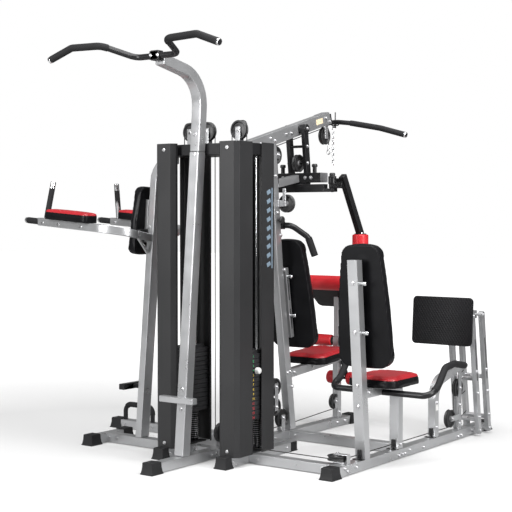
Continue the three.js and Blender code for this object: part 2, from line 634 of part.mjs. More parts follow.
add('press_pulley', pulley('x', ...PRESS_PULLEY), BLACK);

const ROLLER_X = 322;
const BUTTERFLY_LINK = [1472 + GAP, 1500];
[['left', -1], ['right', 1]].forEach(([side, s]) => {
  const top = [s * ROLLER_X, BUTTERFLY_Y - 4, 1545];
  const low = [s * ROLLER_X, 1535, 1205];
  const [from, to] = [s * BUTTERFLY_X, s * ROLLER_X].sort((a, b) => a - b);
  add(`butterfly_arm_${side}`, join([
    rod('z', 9, 94, s * BUTTERFLY_X, BUTTERFLY_Y, 1497, 12),
    rod('z', 20, BUTTERFLY_LINK[1] - BUTTERFLY_LINK[0], s * BUTTERFLY_X, BUTTERFLY_Y,
      (BUTTERFLY_LINK[0] + BUTTERFLY_LINK[1]) / 2, 16),
    rod('z', 24, 44, s * BUTTERFLY_X, BUTTERFLY_Y, 1521, 16),
    box(from, to, BUTTERFLY_Y - 14, BUTTERFLY_Y + 20, ...BUTTERFLY_LINK),
    box(from, to, BUTTERFLY_Y - 10, BUTTERFLY_Y + 10, BUTTERFLY_LINK[1] - 1, 1530),
    strut(top, low, 34, 40),
    rod('z', 13, 330, low[0], low[1], 1065, 12),
    rod('z', 47, 290, low[0], low[1], 1058, 18),
  ]), BLACK);
});

// ---------------------------------------------------------------- seats and pads
// A leaning back pad: its rear face passes through (y, z) and leans back by `angle`.
const backPad = (x, y, z, angle) => slabXZ(taperedPad(PAD_WIDTH, PAD_TOP_WIDTH, PAD_LENGTH, 60, 48), 0, PAD_THICK)
  .rotate([angle, 0, 0]).translate([x, y, z]);
const MAIN_PAD_LEAN = 8.1;
const rail = join([
  strut([0, 1196, 1010], [0, 1259, 600], 42, 30),
  strut([0, 1210, 985], [0, 1240, 985], 16, 16),
  strut([0, 1250, 690], [0, 1285, 690], 16, 16),
]);
add('main_back_pad', join([
  backPad(0, 1258, 853, MAIN_PAD_LEAN),
  rail.translate([0, 12, 0]),
]), VINYL);

const seatShape = roundedRect(SEAT_WIDTH, 350, 70, 40);
add('main_seat_frame', join([
  strut([0, 1262, 388], [0, 1790, 430], 44, 50),
  box(-20, 20, SEAT_POST_Y - 20, SEAT_POST_Y + 20, BEAM_TOP + GAP, 560),
  rod('x', 9, 420, 0, SEAT_POST_Y, 535, 12),
  ...[-1, 1].map((s) => rod('x', 35, 165, s * 118, SEAT_POST_Y, 535, 18)),
  rod('x', 10, 46, 0, SEAT_POST_Y, 420, 12),
]).subtract(slabYZ(outline([...mastFront, ...mastRear]), -30, 30)
  .add(box(-40, 40, 1100, 1240, 300, 500))), SILVER);
add('main_seat_pad', slabXY(seatShape, 0, SEAT_THICK)
  .rotate([4.6, 0, 0]).translate([0, 1576, 441]), VINYL);

// The arm-curl pad slopes down and away from the seat on its own post.
add('curl_pad', join([
  slabYZ(ribbon([[1700, 905], [1880, 760]], 56), -180, 180),
  rod('x', 45, 360, 0, 1700, 900, 20),
  box(-16, 16, SEAT_POST_Y - 16, SEAT_POST_Y + 16, 560 + GAP, 840),
]), VINYL);

const LEG_ROLLER = [1862, 295];
add('leg_lever', join([
  ...[-1, 1].map((s) => strut([s * 31, SEAT_POST_Y, LEG_PIVOT_Z + 14], [s * 31, ...LEG_ROLLER], 10, 34)),
  rod('x', 9, 210, 0, ...LEG_ROLLER, 12),
  ...[-1, 1].map((s) => rod('x', 40, 66, s * 72, ...LEG_ROLLER, 18)),
]).subtract(rod('x', 10.4, 120, 0, SEAT_POST_Y, 420, 12)), BLACK);

// ---------------------------------------------------------------- leg press station
const backLean = (z) => 752 - 0.0866 * (z - 70);
const cableWay = rod('y', 6, 1300, PRESS_X, 1300, LOW_CABLE_Z, 10); // bushed holes in the posts
add('leg_press_back_post', join([
  slabYZ(outline([
    [backLean(55), BEAM_TOP + GAP], [backLean(55) + 50, BEAM_TOP + GAP],
    [backLean(1087) + 50, 1087], [backLean(1087), 1087],
  ]), PRESS_X - 29, PRESS_X + 29),
  ...[967, 713].map((z) => rod('y', 8, 60, PRESS_X, backLean(z) + 49, z, 12)),
]).subtract(cableWay), SILVER);
add('leg_press_back_pad', backPad(PRESS_X, backLean(844) + 80, 844, 4.95), VINYL);
add('leg_press_seat_frame', cut(join([
  box(PRESS_X - 25, PRESS_X + 25, 780, 1150, 370, 418),
  box(PRESS_X - 28, PRESS_X + 28, 1100, 1150, BEAM_TOP + GAP, 400),
]), [rod('x', 15, 80, PRESS_X, 940, 384, 12), cableWay]), SILVER);
add('leg_press_seat_pad', slabXY(seatShape, 418 + GAP, 418 + SEAT_THICK)
  .translate([PRESS_X, 1008, 0]), VINYL);
const handleHalf = (s) => [
  [PRESS_X + s * 300, 948, 384], [PRESS_X + s * 300, 1030, 425], [PRESS_X + s * 300, 1112, 516],
  [PRESS_X + s * 300, 1215, 527], [PRESS_X + s * 300, 1345, 504],
];
add('leg_press_handle_bar', tube([
  ...handleHalf(-1).reverse().slice(0, -1), [PRESS_X - 300, 940, 384], [PRESS_X + 300, 940, 384],
  ...handleHalf(1).slice(1),
], 14, { bend: 48 }), BLACK);

// An arch of two posts carries the pulleys in front of the foot plate.
const LOW_ARCH_PULLEY = [1752, LOW_PULLEY_Z];
const HIGH_ARCH_PULLEY = [LOW_ARCH_PULLEY[0] + 2 * CABLE_ON_PULLEY, 300];
const archPulley = ([y, z]) => join([
  pulley('x', PRESS_X, y, z),
  rod('x', PULLEY_BORE + 3, 38, PRESS_X, y, z, 12),
]);
const archPlate = (x0, x1) => join([
  box(x0, x1, 1832, 1868, BEAM_TOP + GAP, 445),
  box(x0, x1, LOW_ARCH_PULLEY[0] - 14, 1840, LOW_PULLEY_Z - 15, LOW_PULLEY_Z + 15),
]);
add('leg_press_pulley_arch', join([
  slabYZ(ribbon([[1552, BEAM_TOP + GAP], [1552, 262], ...arc(1672, 262, 120, 168, 112, 5), [1862, 432]], 44),
    PRESS_X - 22, PRESS_X + 22),
  archPlate(PRESS_X + 13.5, PRESS_X + 19),
  archPlate(PRESS_X - 19, PRESS_X - 13.5),
  archPulley(LOW_ARCH_PULLEY),
  archPulley(HIGH_ARCH_PULLEY),
]).subtract(rod('y', 6, 100, PRESS_X, 1550, LOW_CABLE_Z, 10)), SILVER);

// Two parallel levers carry the foot plate; their side tubes straddle the base beam.
const CABLE_ON_LEVER = HIGH_ARCH_PULLEY[1] + CABLE_ON_PULLEY; // height where the cable pulls
const leverTop = (i) => [LEVER_BOTTOM[0] + i * LEVER_SPACING + LEVER_LEAN[0], LEVER_BOTTOM[1] + LEVER_LEAN[1]];
const lever = (i) => {
  const [y0, z0] = [LEVER_BOTTOM[0] + i * LEVER_SPACING, LEVER_BOTTOM[1]];
  const [y1, z1] = leverTop(i);
  const on = (t) => [y0 + (y1 - y0) * t, z0 + (z1 - z0) * t];
  const parts = [-1, 1].flatMap((s) => [
    strut([PRESS_X + s * 70, y0, z0], [PRESS_X + s * 70, y1, z1], 26, 38),
    rod('x', 21, 26, PRESS_X + s * 70, y0, z0, 16),
    rod('x', 21, 26, PRESS_X + s * 70, y1, z1, 16),
  ]);
  parts.push(rod('x', 14, 140, PRESS_X, ...on(0.1), 14));
  parts.push(rod('x', 14, 140, PRESS_X, ...on((CABLE_ON_LEVER - z0) / LEVER_LEAN[1]), 14));
  parts.push(rod('x', 8, 140, PRESS_X, y1, z1, 14));
  return join(parts).subtract(rod('x', 12.4, 220, PRESS_X, y0, z0, 16));
};
add('leg_press_lever_front', lever(0), SILVER);
add('leg_press_lever_rear', lever(1), SILVER);
const [carrierY, carrierZ] = leverTop(0);
add('foot_plate', cut(join([
  slabXZ(roundedRect(378, 276, 24, 24), 0, 20).rotate([-4, 0, 0]).translate([PRESS_X, 1646, 710]),
  box(PRESS_X - 30, PRESS_X + 30, 1664, carrierY + LEVER_SPACING + 24, carrierZ - 24, carrierZ + 24),
  box(PRESS_X - 110, PRESS_X + 110, 1660, 1690, carrierZ - 70, carrierZ - 30),
  box(PRESS_X - 30, PRESS_X + 30, 1664, 1690, carrierZ - 70, carrierZ),
]), [0, 1].map((i) => rod('x', 8.6, 90, PRESS_X, ...leverTop(i), 14))), BLACK);

// ---------------------------------------------------------------- cables and the corner pulley
add('corner_pulley', pulley('z', ...CORNER), BLACK);

// The main cable: up from the left stack, over the tower pulleys, down the middle, back
// along the base, up behind the mast and out under the boom to the lat pulley.
const overTop = TOP_PULLEY_Z + CABLE_ON_PULLEY;
const stackTop = plateAt(REST_PLATES + LIFTED_PLATES) + 50 + GAP;
const stackCableX = TOP_PULLEY_X + CABLE_ON_PULLEY;
const mastCableTop = MAST_PULLEY[1] - CABLE_ON_PULLEY;
add('main_cable', tube([
  [-stackCableX, TOWER_Y, stackTop], [-stackCableX, TOWER_Y, overTop], [0, TOWER_Y, overTop],
  [0, TOWER_Y, LOW_CABLE_Z], [0, MAST_CABLE_Y, LOW_CABLE_Z], [0, mastCableTop, cableOver(mastCableTop)],
  [0, latCableY, cableOver(latCableY)], [0, latCableY, CLIP_TOP + GAP],
], CABLE_R, { bend: CABLE_ON_PULLEY, sides: 8 }), BLACK);

// The leg press cable: up from the right stack, over its pulley, down to the base, out to
// the corner pulley and back along the base beam to the front lever.
const dropX = TOP_PULLEY_X - CABLE_ON_PULLEY;
add('leg_press_cable', tube([
  [stackCableX, TOWER_Y, stackTop], [stackCableX, TOWER_Y, overTop], [dropX, TOWER_Y, overTop],
  [dropX, TOWER_Y, LOW_CABLE_Z], [PRESS_X, TOWER_Y, LOW_CABLE_Z],
  [PRESS_X, LOW_ARCH_PULLEY[0] + CABLE_ON_PULLEY, LOW_CABLE_Z],
  [PRESS_X, LOW_ARCH_PULLEY[0] + CABLE_ON_PULLEY, CABLE_ON_LEVER], [PRESS_X, 1930, CABLE_ON_LEVER],
], CABLE_R, { bend: CABLE_ON_PULLEY, sides: 8 }), BLACK);

group.position.set(0, -ORIGIN_Y, 0);
export default group;
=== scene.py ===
# Looks of a multi station home gym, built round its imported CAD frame.
# Places are given in millimetres in the design frame and moved into the row frame by at().
import json
import math
import bpy
import bmesh
from mathutils import Matrix, Vector
from mathutils.bvhtree import BVHTree


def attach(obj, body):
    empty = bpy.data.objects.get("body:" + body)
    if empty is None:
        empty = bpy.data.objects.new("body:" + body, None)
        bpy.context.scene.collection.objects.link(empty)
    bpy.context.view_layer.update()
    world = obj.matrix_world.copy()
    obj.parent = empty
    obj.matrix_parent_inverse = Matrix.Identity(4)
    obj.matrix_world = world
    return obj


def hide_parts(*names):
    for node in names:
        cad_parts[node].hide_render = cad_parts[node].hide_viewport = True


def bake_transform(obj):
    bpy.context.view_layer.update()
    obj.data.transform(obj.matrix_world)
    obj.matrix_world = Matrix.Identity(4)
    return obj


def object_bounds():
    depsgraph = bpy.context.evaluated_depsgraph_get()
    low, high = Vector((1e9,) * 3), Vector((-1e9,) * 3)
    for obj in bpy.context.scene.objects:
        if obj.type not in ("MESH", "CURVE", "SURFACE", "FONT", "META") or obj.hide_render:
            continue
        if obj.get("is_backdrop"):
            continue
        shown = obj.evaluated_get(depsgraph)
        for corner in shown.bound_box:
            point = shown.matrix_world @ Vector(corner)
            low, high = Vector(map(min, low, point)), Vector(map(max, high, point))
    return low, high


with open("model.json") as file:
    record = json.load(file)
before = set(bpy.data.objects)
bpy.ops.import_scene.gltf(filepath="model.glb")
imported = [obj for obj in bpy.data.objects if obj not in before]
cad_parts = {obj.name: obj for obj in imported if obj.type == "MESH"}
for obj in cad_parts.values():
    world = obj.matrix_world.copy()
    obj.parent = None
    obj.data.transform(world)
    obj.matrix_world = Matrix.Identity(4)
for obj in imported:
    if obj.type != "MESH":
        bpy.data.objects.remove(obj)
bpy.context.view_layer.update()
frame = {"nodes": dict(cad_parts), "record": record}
nodes = frame["nodes"]
ORIGIN_Y = 37.5  # the row frame starts at the middle of the front shoe
scene = bpy.context.scene
body_of_node = {n: b for b, names in frame["record"]["behaviour"]["bodies"].items() for n in names}


def at(x, y, z):
    """A place in the row frame, in metres, from design millimetres."""
    return Vector((x, y - ORIGIN_Y, z)) / 1000


# ------------------------------------------------------------------ materials
def surface(name, colour, rough, metal=0.0, grain=900.0, depth=0.15, vary=0.12, cells=False,
            coat=0.0, patch=9.0, spread=0.08, shine=0.5):
    """A finish with patchy colour and gloss and a fine grain. depth is the grain's height in mm."""
    m = bpy.data.materials.new(name)
    m.use_nodes = True
    n, link = m.node_tree.nodes, m.node_tree.links.new
    b = n["Principled BSDF"]
    b.inputs["Metallic"].default_value = metal
    b.inputs["Coat Weight"].default_value = coat
    b.inputs["Coat Roughness"].default_value = 0.12
    b.inputs["Specular IOR Level"].default_value = shine
    coord = n.new("ShaderNodeTexCoord")
    blot = n.new("ShaderNodeTexNoise")
    blot.inputs["Scale"].default_value = patch
    blot.inputs["Detail"].default_value = 6
    link(coord.outputs["Object"], blot.inputs["Vector"])
    ramp = n.new("ShaderNodeValToRGB")
    ramp.color_ramp.elements[0].position = 0.3
    ramp.color_ramp.elements[1].position = 0.7
    ramp.color_ramp.elements[0].color = [c * (1 - vary) for c in colour] + [1]
    ramp.color_ramp.elements[1].color = [min(1, c * (1 + vary)) for c in colour] + [1]
    link(blot.outputs["Fac"], ramp.inputs["Fac"])
    link(ramp.outputs["Color"], b.inputs["Base Color"])
    gloss = n.new("ShaderNodeMapRange")
    gloss.inputs["To Min"].default_value = max(0.03, rough - spread)
    gloss.inputs["To Max"].default_value = rough + spread
    link(blot.outputs["Fac"], gloss.inputs["Value"])
    link(gloss.outputs["Result"], b.inputs["Roughness"])
    if cells:
        fine = n.new("ShaderNodeTexVoronoi")
        fine.feature = "DISTANCE_TO_EDGE"
        fine.inputs["Scale"].default_value = grain
        height = fine.outputs["Distance"]
    else:
        fine = n.new("ShaderNodeTexNoise")
        fine.inputs["Scale"].default_value = grain
        fine.inputs["Detail"].default_value = 3
        height = fine.outputs["Fac"]
    link(coord.outputs["Object"], fine.inputs["Vector"])
    bump = n.new("ShaderNodeBump")
    bump.inputs["Strength"].default_value = 0.6
    bump.inputs["Distance"].default_value = depth / 1000
    link(height, bump.inputs["Height"])
    link(bump.outputs["Normal"], b.inputs["Normal"])
    return m


def diamond_rubber():
    """Black rubber with a raised diamond tread."""
    m = surface("tread_rubber", (0.005, 0.005, 0.006), 0.42, grain=700, vary=0.25, shine=0.16)
    n, link = m.node_tree.nodes, m.node_tree.links.new
    coord = n["Texture Coordinate"]
    waves = []
    for turn in (35, -35):
        mapping = n.new("ShaderNodeMapping")
        mapping.inputs["Rotation"].default_value = (0, math.radians(turn), 0)
        wave = n.new("ShaderNodeTexWave")
        wave.inputs["Scale"].default_value = 22
        link(coord.outputs["Object"], mapping.inputs["Vector"])
        link(mapping.outputs["Vector"], wave.inputs["Vector"])
        waves.append(wave)
    top = n.new("ShaderNodeMath")
    top.operation = "MULTIPLY"
    link(waves[0].outputs["Fac"], top.inputs[0])
    link(waves[1].outputs["Fac"], top.inputs[1])
    bump = n["Bump"]
    bump.inputs["Distance"].default_value = 0.0016
    link(top.outputs["Value"], bump.inputs["Height"])
    return m


SILVER = surface("silver_powder_coat", (0.54, 0.545, 0.555), 0.30, metal=0.78, grain=2600, depth=0.05,
                 vary=0.05)
BLACK = surface("black_powder_coat", (0.009, 0.009, 0.010), 0.36, grain=2200, depth=0.06, vary=0.2, coat=0.1,
                shine=0.35)
SHROUD = surface("black_shroud_sheet", (0.021, 0.021, 0.022), 0.42, grain=1800, depth=0.05, vary=0.1, patch=3,
                 shine=0.4)
RUBBER = surface("black_rubber", (0.010, 0.010, 0.011), 0.55, grain=1400, depth=0.2, vary=0.3, shine=0.35)
FOAM = surface("black_foam_grip", (0.009, 0.009, 0.010), 0.75, grain=1900, depth=0.35, vary=0.3, shine=0.3)
VINYL = surface("black_vinyl", (0.004, 0.004, 0.005), 0.40, grain=620, depth=0.25, vary=0.25, cells=True,
                shine=0.16)
RED = surface("red_vinyl", (0.34, 0.010, 0.016), 0.42, grain=620, depth=0.25, vary=0.12, cells=True,
              coat=0.12)
RED_FOAM = surface("red_foam_roller", (0.56, 0.014, 0.022), 0.48, grain=700, depth=0.2, vary=0.1, coat=0.1)
CHROME = surface("chrome_plate", (0.82, 0.83, 0.84), 0.12, metal=1.0, depth=0.01, vary=0.03, spread=0.05)
ZINC = surface("zinc_bolt", (0.62, 0.62, 0.63), 0.3, metal=1.0, grain=1500, depth=0.05, vary=0.1)
IRON = surface("painted_iron_plate", (0.020, 0.020, 0.022), 0.5, grain=700, depth=0.3, vary=0.3)
PLASTIC = surface("black_moulded_plastic", (0.020, 0.020, 0.021), 0.45, grain=1600, depth=0.08, vary=0.2)
HUB = surface("grey_pulley_hub", (0.16, 0.16, 0.165), 0.45, grain=1600, depth=0.08, vary=0.15)
GREY_CAP = surface("grey_end_cap", (0.14, 0.14, 0.145), 0.5, grain=1600, depth=0.1, vary=0.15)
CABLE = surface("black_cable_coat", (0.02, 0.02, 0.02), 0.5, grain=2500, depth=0.1, vary=0.2)
DECAL = surface("blue_grey_decal", (0.18, 0.24, 0.30), 0.4, grain=1500, depth=0.02, vary=0.06)
CREAM = surface("cream_label", (0.75, 0.62, 0.42), 0.5, grain=1500, depth=0.02, vary=0.08)
TREAD = diamond_rubber()
NUMBER = {c: surface(f"number_{c}", rgb, 0.5, grain=1500, depth=0.02, vary=0.05) for c, rgb in {
    "green": (0.05, 0.42, 0.16), "yellow": (0.72, 0.50, 0.06), "red": (0.62, 0.03, 0.04),
    "white": (0.75, 0.75, 0.74)}.items()}


# ------------------------------------------------------------------ making pieces
def put(name, mesh, body, mats):
    """Adds a mesh as a piece, with its materials and the body that it rides on."""
    o = bpy.data.objects.new(name, mesh)
    scene.collection.objects.link(o)
    for m in mats:
        mesh.materials.append(m)
    if body:
        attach(o, body)
    return o


def smooth(o, angle, bevel=0.0):
    """Rounds the sharp edges by `bevel` mm and shades the rest smooth."""
    for f in o.data.polygons:
        f.use_smooth = True
    if bevel:
        m = o.modifiers.new("round", "BEVEL")
        m.width = bevel / 1000
        m.segments = 2
        m.limit_method = "ANGLE"
        m.angle_limit = math.radians(angle)
        m.use_clamp_overlap = False
    else:
        o.data.set_sharp_from_angle(angle=math.radians(angle))
    w = o.modifiers.new("shade", "WEIGHTED_NORMAL")
    w.keep_sharp = True
    w.weight = 80
    return o


def piece(b, name, body, mat, angle, bevel=0.0, replaces=()):
    """Turns a bmesh into a finished piece that rides on a body and may stand for CAD nodes."""
    mesh = bpy.data.meshes.new(name)
    b.to_mesh(mesh)
    b.free()
    o = smooth(put(name, mesh, body, [mat]), angle, bevel)
    if replaces:
        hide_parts(*replaces)
    return o


def inside(box, p):
    """Whether a point is in a box, to a tenth of a millimetre."""
    return all(a - 1e-4 <= v <= b + 1e-4 for a, v, b in zip(box[0], p, box[1]))


def skin(node, base, zones=(), bevel=2.5, drop=(), clamp=False):
    """A copy of a CAD node with rounded edges. zones paint the faces in a box; drop removes them."""
    src = nodes[node]
    mesh = src.data.copy()
    mesh.transform(src.matrix_world)
    mesh.materials.clear()
    mats = [base] + [m for _, m in zones]
    b = bmesh.new()
    b.from_mesh(mesh)
    bmesh.ops.remove_doubles(b, verts=b.verts, dist=2e-5)
    gone = []
    for f in b.faces:
        f.material_index = 0
        c = f.calc_center_median()
        for i, (box, _) in enumerate(zones):
            if inside(box, c):
                f.material_index = i + 1
        if any(all(inside(box, v.co) for v in f.verts) for box in drop):
            gone.append(f)
    bmesh.ops.delete(b, geom=gone, context="FACES")
    bmesh.ops.dissolve_limit(b, angle_limit=math.radians(0.7), verts=b.verts, edges=b.edges,
                             delimit={"MATERIAL"})
    b.to_mesh(mesh)
    b.free()
    o = put("look_" + node, mesh, body_of_node[node], mats)
    smooth(o, 35, bevel)
    if clamp:
        o.modifiers["round"].use_clamp_overlap = True
    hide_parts(node)


def span(x0, x1, y0, y1, z0, z1):
    """A box in the row frame from design millimetres."""
    return at(x0, y0, z0), at(x1, y1, z1)


def rounded(points, bend, step=7):
    """Dense points along straight runs whose corners are rounded to the radius `bend` in mm.

    step is the most that the route turns between two points, in degrees.
    """
    p = [Vector(q) for q in points]
    out = [p[0]]
    for a, c, d in zip(p, p[1:], p[2:]):
        back, ahead = a - c, d - c
        half = back.angle(ahead) / 2
        if half > 1.57:  # a point on a straight run
            continue
        reach = min(bend / math.tan(half), 0.49 * min(back.length, ahead.length))
        back, ahead = back.normalized(), ahead.normalized()
        centre = c + (back + ahead).normalized() * reach / math.cos(half)
        start, end = c + back * reach - centre, c + ahead * reach - centre
        arc = start.angle(end)
        axis = start.cross(end).normalized()
        n = max(1, math.ceil(math.degrees(arc) / step))
        out += [centre + Matrix.Rotation(arc * k / n, 3, axis) @ start for k in range(n + 1)]
    return out + [p[-1]]


def stretch(route, start, end):
    """The part of a dense route between two lengths in mm; a negative length counts from the end."""
    lengths = [0.0]
    for a, b in zip(route, route[1:]):
        lengths.append(lengths[-1] + (b - a).length)
    total = lengths[-1]
    start, end = (v + total if v < 0 else v for v in (start, end))

    def point(s):
        for a, b, la, lb in zip(route, route[1:], lengths, lengths[1:]):
            if s <= lb:
                return a.lerp(b, (s - la) / max(lb - la, 1e-9))
        return route[-1]

    return [point(start)] + [q for q, s in zip(route, lengths) if start < s < end] + [point(end)]


def sweep(b, route, radii, sides, caps=True):
    """Adds a tube along dense points (design mm) to a bmesh, with a radius for each point."""
    pts = [at(*q) for q in route]
    radii = [r / 1000 for r in radii]
    t = (pts[1] - pts[0]).normalized()
    side = t.orthogonal().normalized()
    rings = []
    for i, p in enumerate(pts):
        here = (pts[min(i + 1, len(pts) - 1)] - pts[max(i - 1, 0)]).normalized()
        side = (side - here * side.dot(here)).normalized()
        up = here.cross(side)
        rings.append([b.verts.new(p + radii[i] * (math.cos(a) * side + math.sin(a) * up))
                      for a in (2 * math.pi * k / sides for k in range(sides))])
    for r0, r1 in zip(rings, rings[1:]):
        for k in range(sides):
            b.faces.new((r0[k], r0[(k + 1) % sides], r1[(k + 1) % sides], r1[k]))
    if caps:
        b.faces.new(list(reversed(rings[0])))
        b.faces.new(rings[-1])


def capped(route, r, edge):
    """Route and radii of a tube whose ends are rounded over by `edge` mm."""
    def rim(a, b):
        d = (b - a).normalized()
        return [(a, r - edge), (a + d * edge * 0.3, r - edge * 0.3), (a + d * edge, r)]

    pts = [Vector(q) for q in route]
    rings = rim(pts[0], pts[1]) + [(q, r) for q in pts[1:-1]] + rim(pts[-1], pts[-2])[::-1]
    return [q for q, _ in rings], [v for _, v in rings]


def pipes(name, runs, body, mat, sides=20, replaces=()):
    """One piece made of round tubes. Each run is (dense route, radius)."""
    b = bmesh.new()
    for route, r in runs:
        route, radii = capped(route, r, min(2.0, r * 0.3))
        sweep(b, route, radii, sides)
    b.normal_update()
    return piece(b, name, body, mat, 40, replaces=replaces)


def turned(b, profile, centre, axis, sides=28):
    """Adds a lathed solid: profile is (radius, height) pairs in mm from axis to axis or closed."""
    c, t = at(*centre), Vector(axis).normalized()
    u = t.orthogonal().normalized()
    v = t.cross(u)
    rings = []
    for r, h in profile:
        p = c + t * h / 1000
        if r < 1e-6:
            rings.append([b.verts.new(p)])
        else:
            rings.append([b.verts.new(p + (u * math.cos(a) + v * math.sin(a)) * r / 1000)
                          for a in (2 * math.pi * k / sides for k in range(sides))])
    for r0, r1 in zip(rings, rings[1:]):
        for k in range(sides):
            j = (k + 1) % sides
            ring = [r0[k % len(r0)], r0[j % len(r0)], r1[j % len(r1)], r1[k % len(r1)]]
            face = list(dict.fromkeys(ring))
            if len(face) > 2:
                b.faces.new(face)


def lathe(name, parts, body, mat, sides=28, replaces=(), angle=40):
    """One piece of several lathed solids: parts is a list of (profile, centre, axis)."""
    b = bmesh.new()
    for profile, centre, axis in parts:
        turned(b, profile, centre, axis, sides)
    bmesh.ops.recalc_face_normals(b, faces=b.faces)
    return piece(b, name, body, mat, angle, replaces=replaces)


def bolts(name, body, spots, size=8.5):
    """Hex bolts with washers: spots is a list of (centre, outward axis), size half a head's width in mm."""
    washer = [(0, 0), (size * 1.45, 0), (size * 1.45, 1.4), (size * 1.3, 1.9), (0, 1.9)]
    head = [(0, 1.9), (size, 1.9), (size, 6.2), (size * 0.86, 7.4), (size * 0.5, 7.4), (size * 0.4, 6.6),
            (0, 6.6)]
    b = bmesh.new()
    for centre, axis in spots:
        turned(b, washer, centre, axis, 20)
        turned(b, head, centre, axis, 6)
    bmesh.ops.recalc_face_normals(b, faces=b.faces)
    piece(b, name, body, ZINC, 30)


def block(b, size, place):
    """Adds a box of the given size in mm, placed by a 4x4 in design mm."""
    geo = bmesh.ops.create_cube(b, size=1.0)
    for v in geo["verts"]:
        p = place @ Vector((v.co[i] * size[i] for i in range(3)))
        v.co = at(*p)


def boxes(name, items, body, mat, bevel=1.5, replaces=()):
    """One piece of several boxes with rounded edges: items is (size, centre, rotation or None)."""
    b = bmesh.new()
    for size, centre, turn in items:
        block(b, size, Matrix.Translation(centre) @ (turn.to_4x4() if turn else Matrix()))
    piece(b, name, body, mat, 35, bevel, replaces)


def wheel(name, centre, axis, body, r=52, replaces=()):
    """A moulded cable pulley with a dished web and a lighter hub and nut."""
    rim = [(9, -7), (24, -7), (27, -5), (r - 13, -4), (r - 9, -10), (r - 8, -12), (r - 1.5, -12), (r, -10.5),
           (r, -9), (r - 5, -3.2), (r - 6, 0), (r - 5, 3.2), (r, 9), (r, 10.5), (r - 1.5, 12), (r - 8, 12),
           (r - 9, 10), (r - 13, 4), (27, 5), (24, 7), (9, 7), (9, -7)]
    lathe(name, [(rim, centre, axis)], body, PLASTIC, 40, replaces, 50)
    hub = [(0, -13.5), (8, -13.5), (13, -12.5), (17, -8), (17, 8), (13, 12.5), (8, 13.5), (0, 13.5)]
    lathe(name + "_hub", [(hub, centre, axis)], body, HUB, 28, (), 50)


# ------------------------------------------------------------------ cushions
VOXEL, QUICK_VOXEL = 5.0, 9.0  # remesh sizes in mm
EDGE = 14  # how far a pad's upper edge is rounded in, in mm
LAST_FRAME = 20  # of the cloth simulation
LONG_PAD = 500  # a pad longer than this, in mm, has a point halfway along its sides
SHRINK = 3  # a board starts this much inside its pad's outline, in mm, because it swells
HELD = 0.012  # points under this height, in m, stay with the board
SEAM_REACH, SEAM_DEPTH = 0.005, 0.0012  # how far round its line, in m, a seam pulls the pad in, and how deep
SEAM_UNDER_TOP = 0.0035  # a seam is at least this far under the highest point, in m, so that it goes all round
PIPING_R = 1.7
cushions = []


def pad_outline(width, length, top, bottom, top_width=None):
    """A pad's outline in mm: round corners, and sides that follow a parabola to a narrower top."""
    w1, h = top_width or width, length / 2

    def half(t):
        return (w1 + (width - w1) * (1 - t * t)) / 2

    def end(t, y, r):
        """The lower or upper half of the outline, from one side to the other."""
        side = [(half(0.5), 0, 0), (half((0.5 + t) / 2), y / 2, 0), (half(t), y, 0)]
        if length <= LONG_PAD:
            del side[1]
        route = side + [(-x, v, z) for x, v, z in reversed(side)]
        return rounded(route if y > 0 else list(reversed(route)), r, 10)

    low, high = end(0, -h, bottom), end(1, h, top)
    out = low + high[1:-1]
    dense = []
    for a, c in zip(out, out[1:] + out[:1]):
        n = max(1, int((c - a).length / 8))
        dense += [a.lerp(c, k / n) for k in range(n)]
    return [(p.x, p.y) for p in dense]


def cushion(name, outline, thick, place, body, top, side, seam, swell, replaces):
    """A padded board: flat and held at w = 0, swelling on its other faces.

    place maps (u, v, w) in mm to design mm. seam is the seam's height as a share of the thickness, and swell
    is the most that a point may move, in mm.
    """
    b = bmesh.new()
    layers = [(0, 0.0), (thick - EDGE - 2, 0.0), (thick - 5, EDGE * 0.35), (thick - 2, EDGE)]
    rings = []
    for w, pull in layers:
        ring = []
        for i, p in enumerate(outline):
            q = Vector(p)
            t = (Vector(outline[(i + 1) % len(outline)]) - Vector(outline[i - 1])).normalized()
            inward = Vector((-t.y, t.x))
            q = q + inward * (pull + SHRINK)
            ring.append(b.verts.new((q.x, q.y, w)))
        rings.append(ring)
    for r0, r1 in zip(rings, rings[1:]):
        for i in range(len(r0)):
            j = (i + 1) % len(r0)
            b.faces.new((r0[i], r0[j], r1[j], r1[i]))
    b.faces.new(list(reversed(rings[0])))
    b.faces.new(rings[-1])
    mesh = bpy.data.meshes.new(name)
    b.normal_update()
    b.to_mesh(mesh)
    b.free()
    mesh.transform(Matrix.Scale(0.001, 4))
    o = bpy.data.objects.new(name, mesh)
    scene.collection.objects.link(o)
    m = o.modifiers.new("remesh", "REMESH")
    m.mode = "VOXEL"
    m.voxel_size = VOXEL / 1000
    m.use_smooth_shade = True
    bpy.context.view_layer.update()
    done = bpy.data.meshes.new_from_object(o.evaluated_get(bpy.context.evaluated_depsgraph_get()))
    o.modifiers.clear()
    o.data = done
    done.name = name
    cushions.append(dict(o=o, thick=thick, place=place, body=body, top=top, side=side, seam=seam, swell=swell,
                         replaces=replaces, outline=outline))


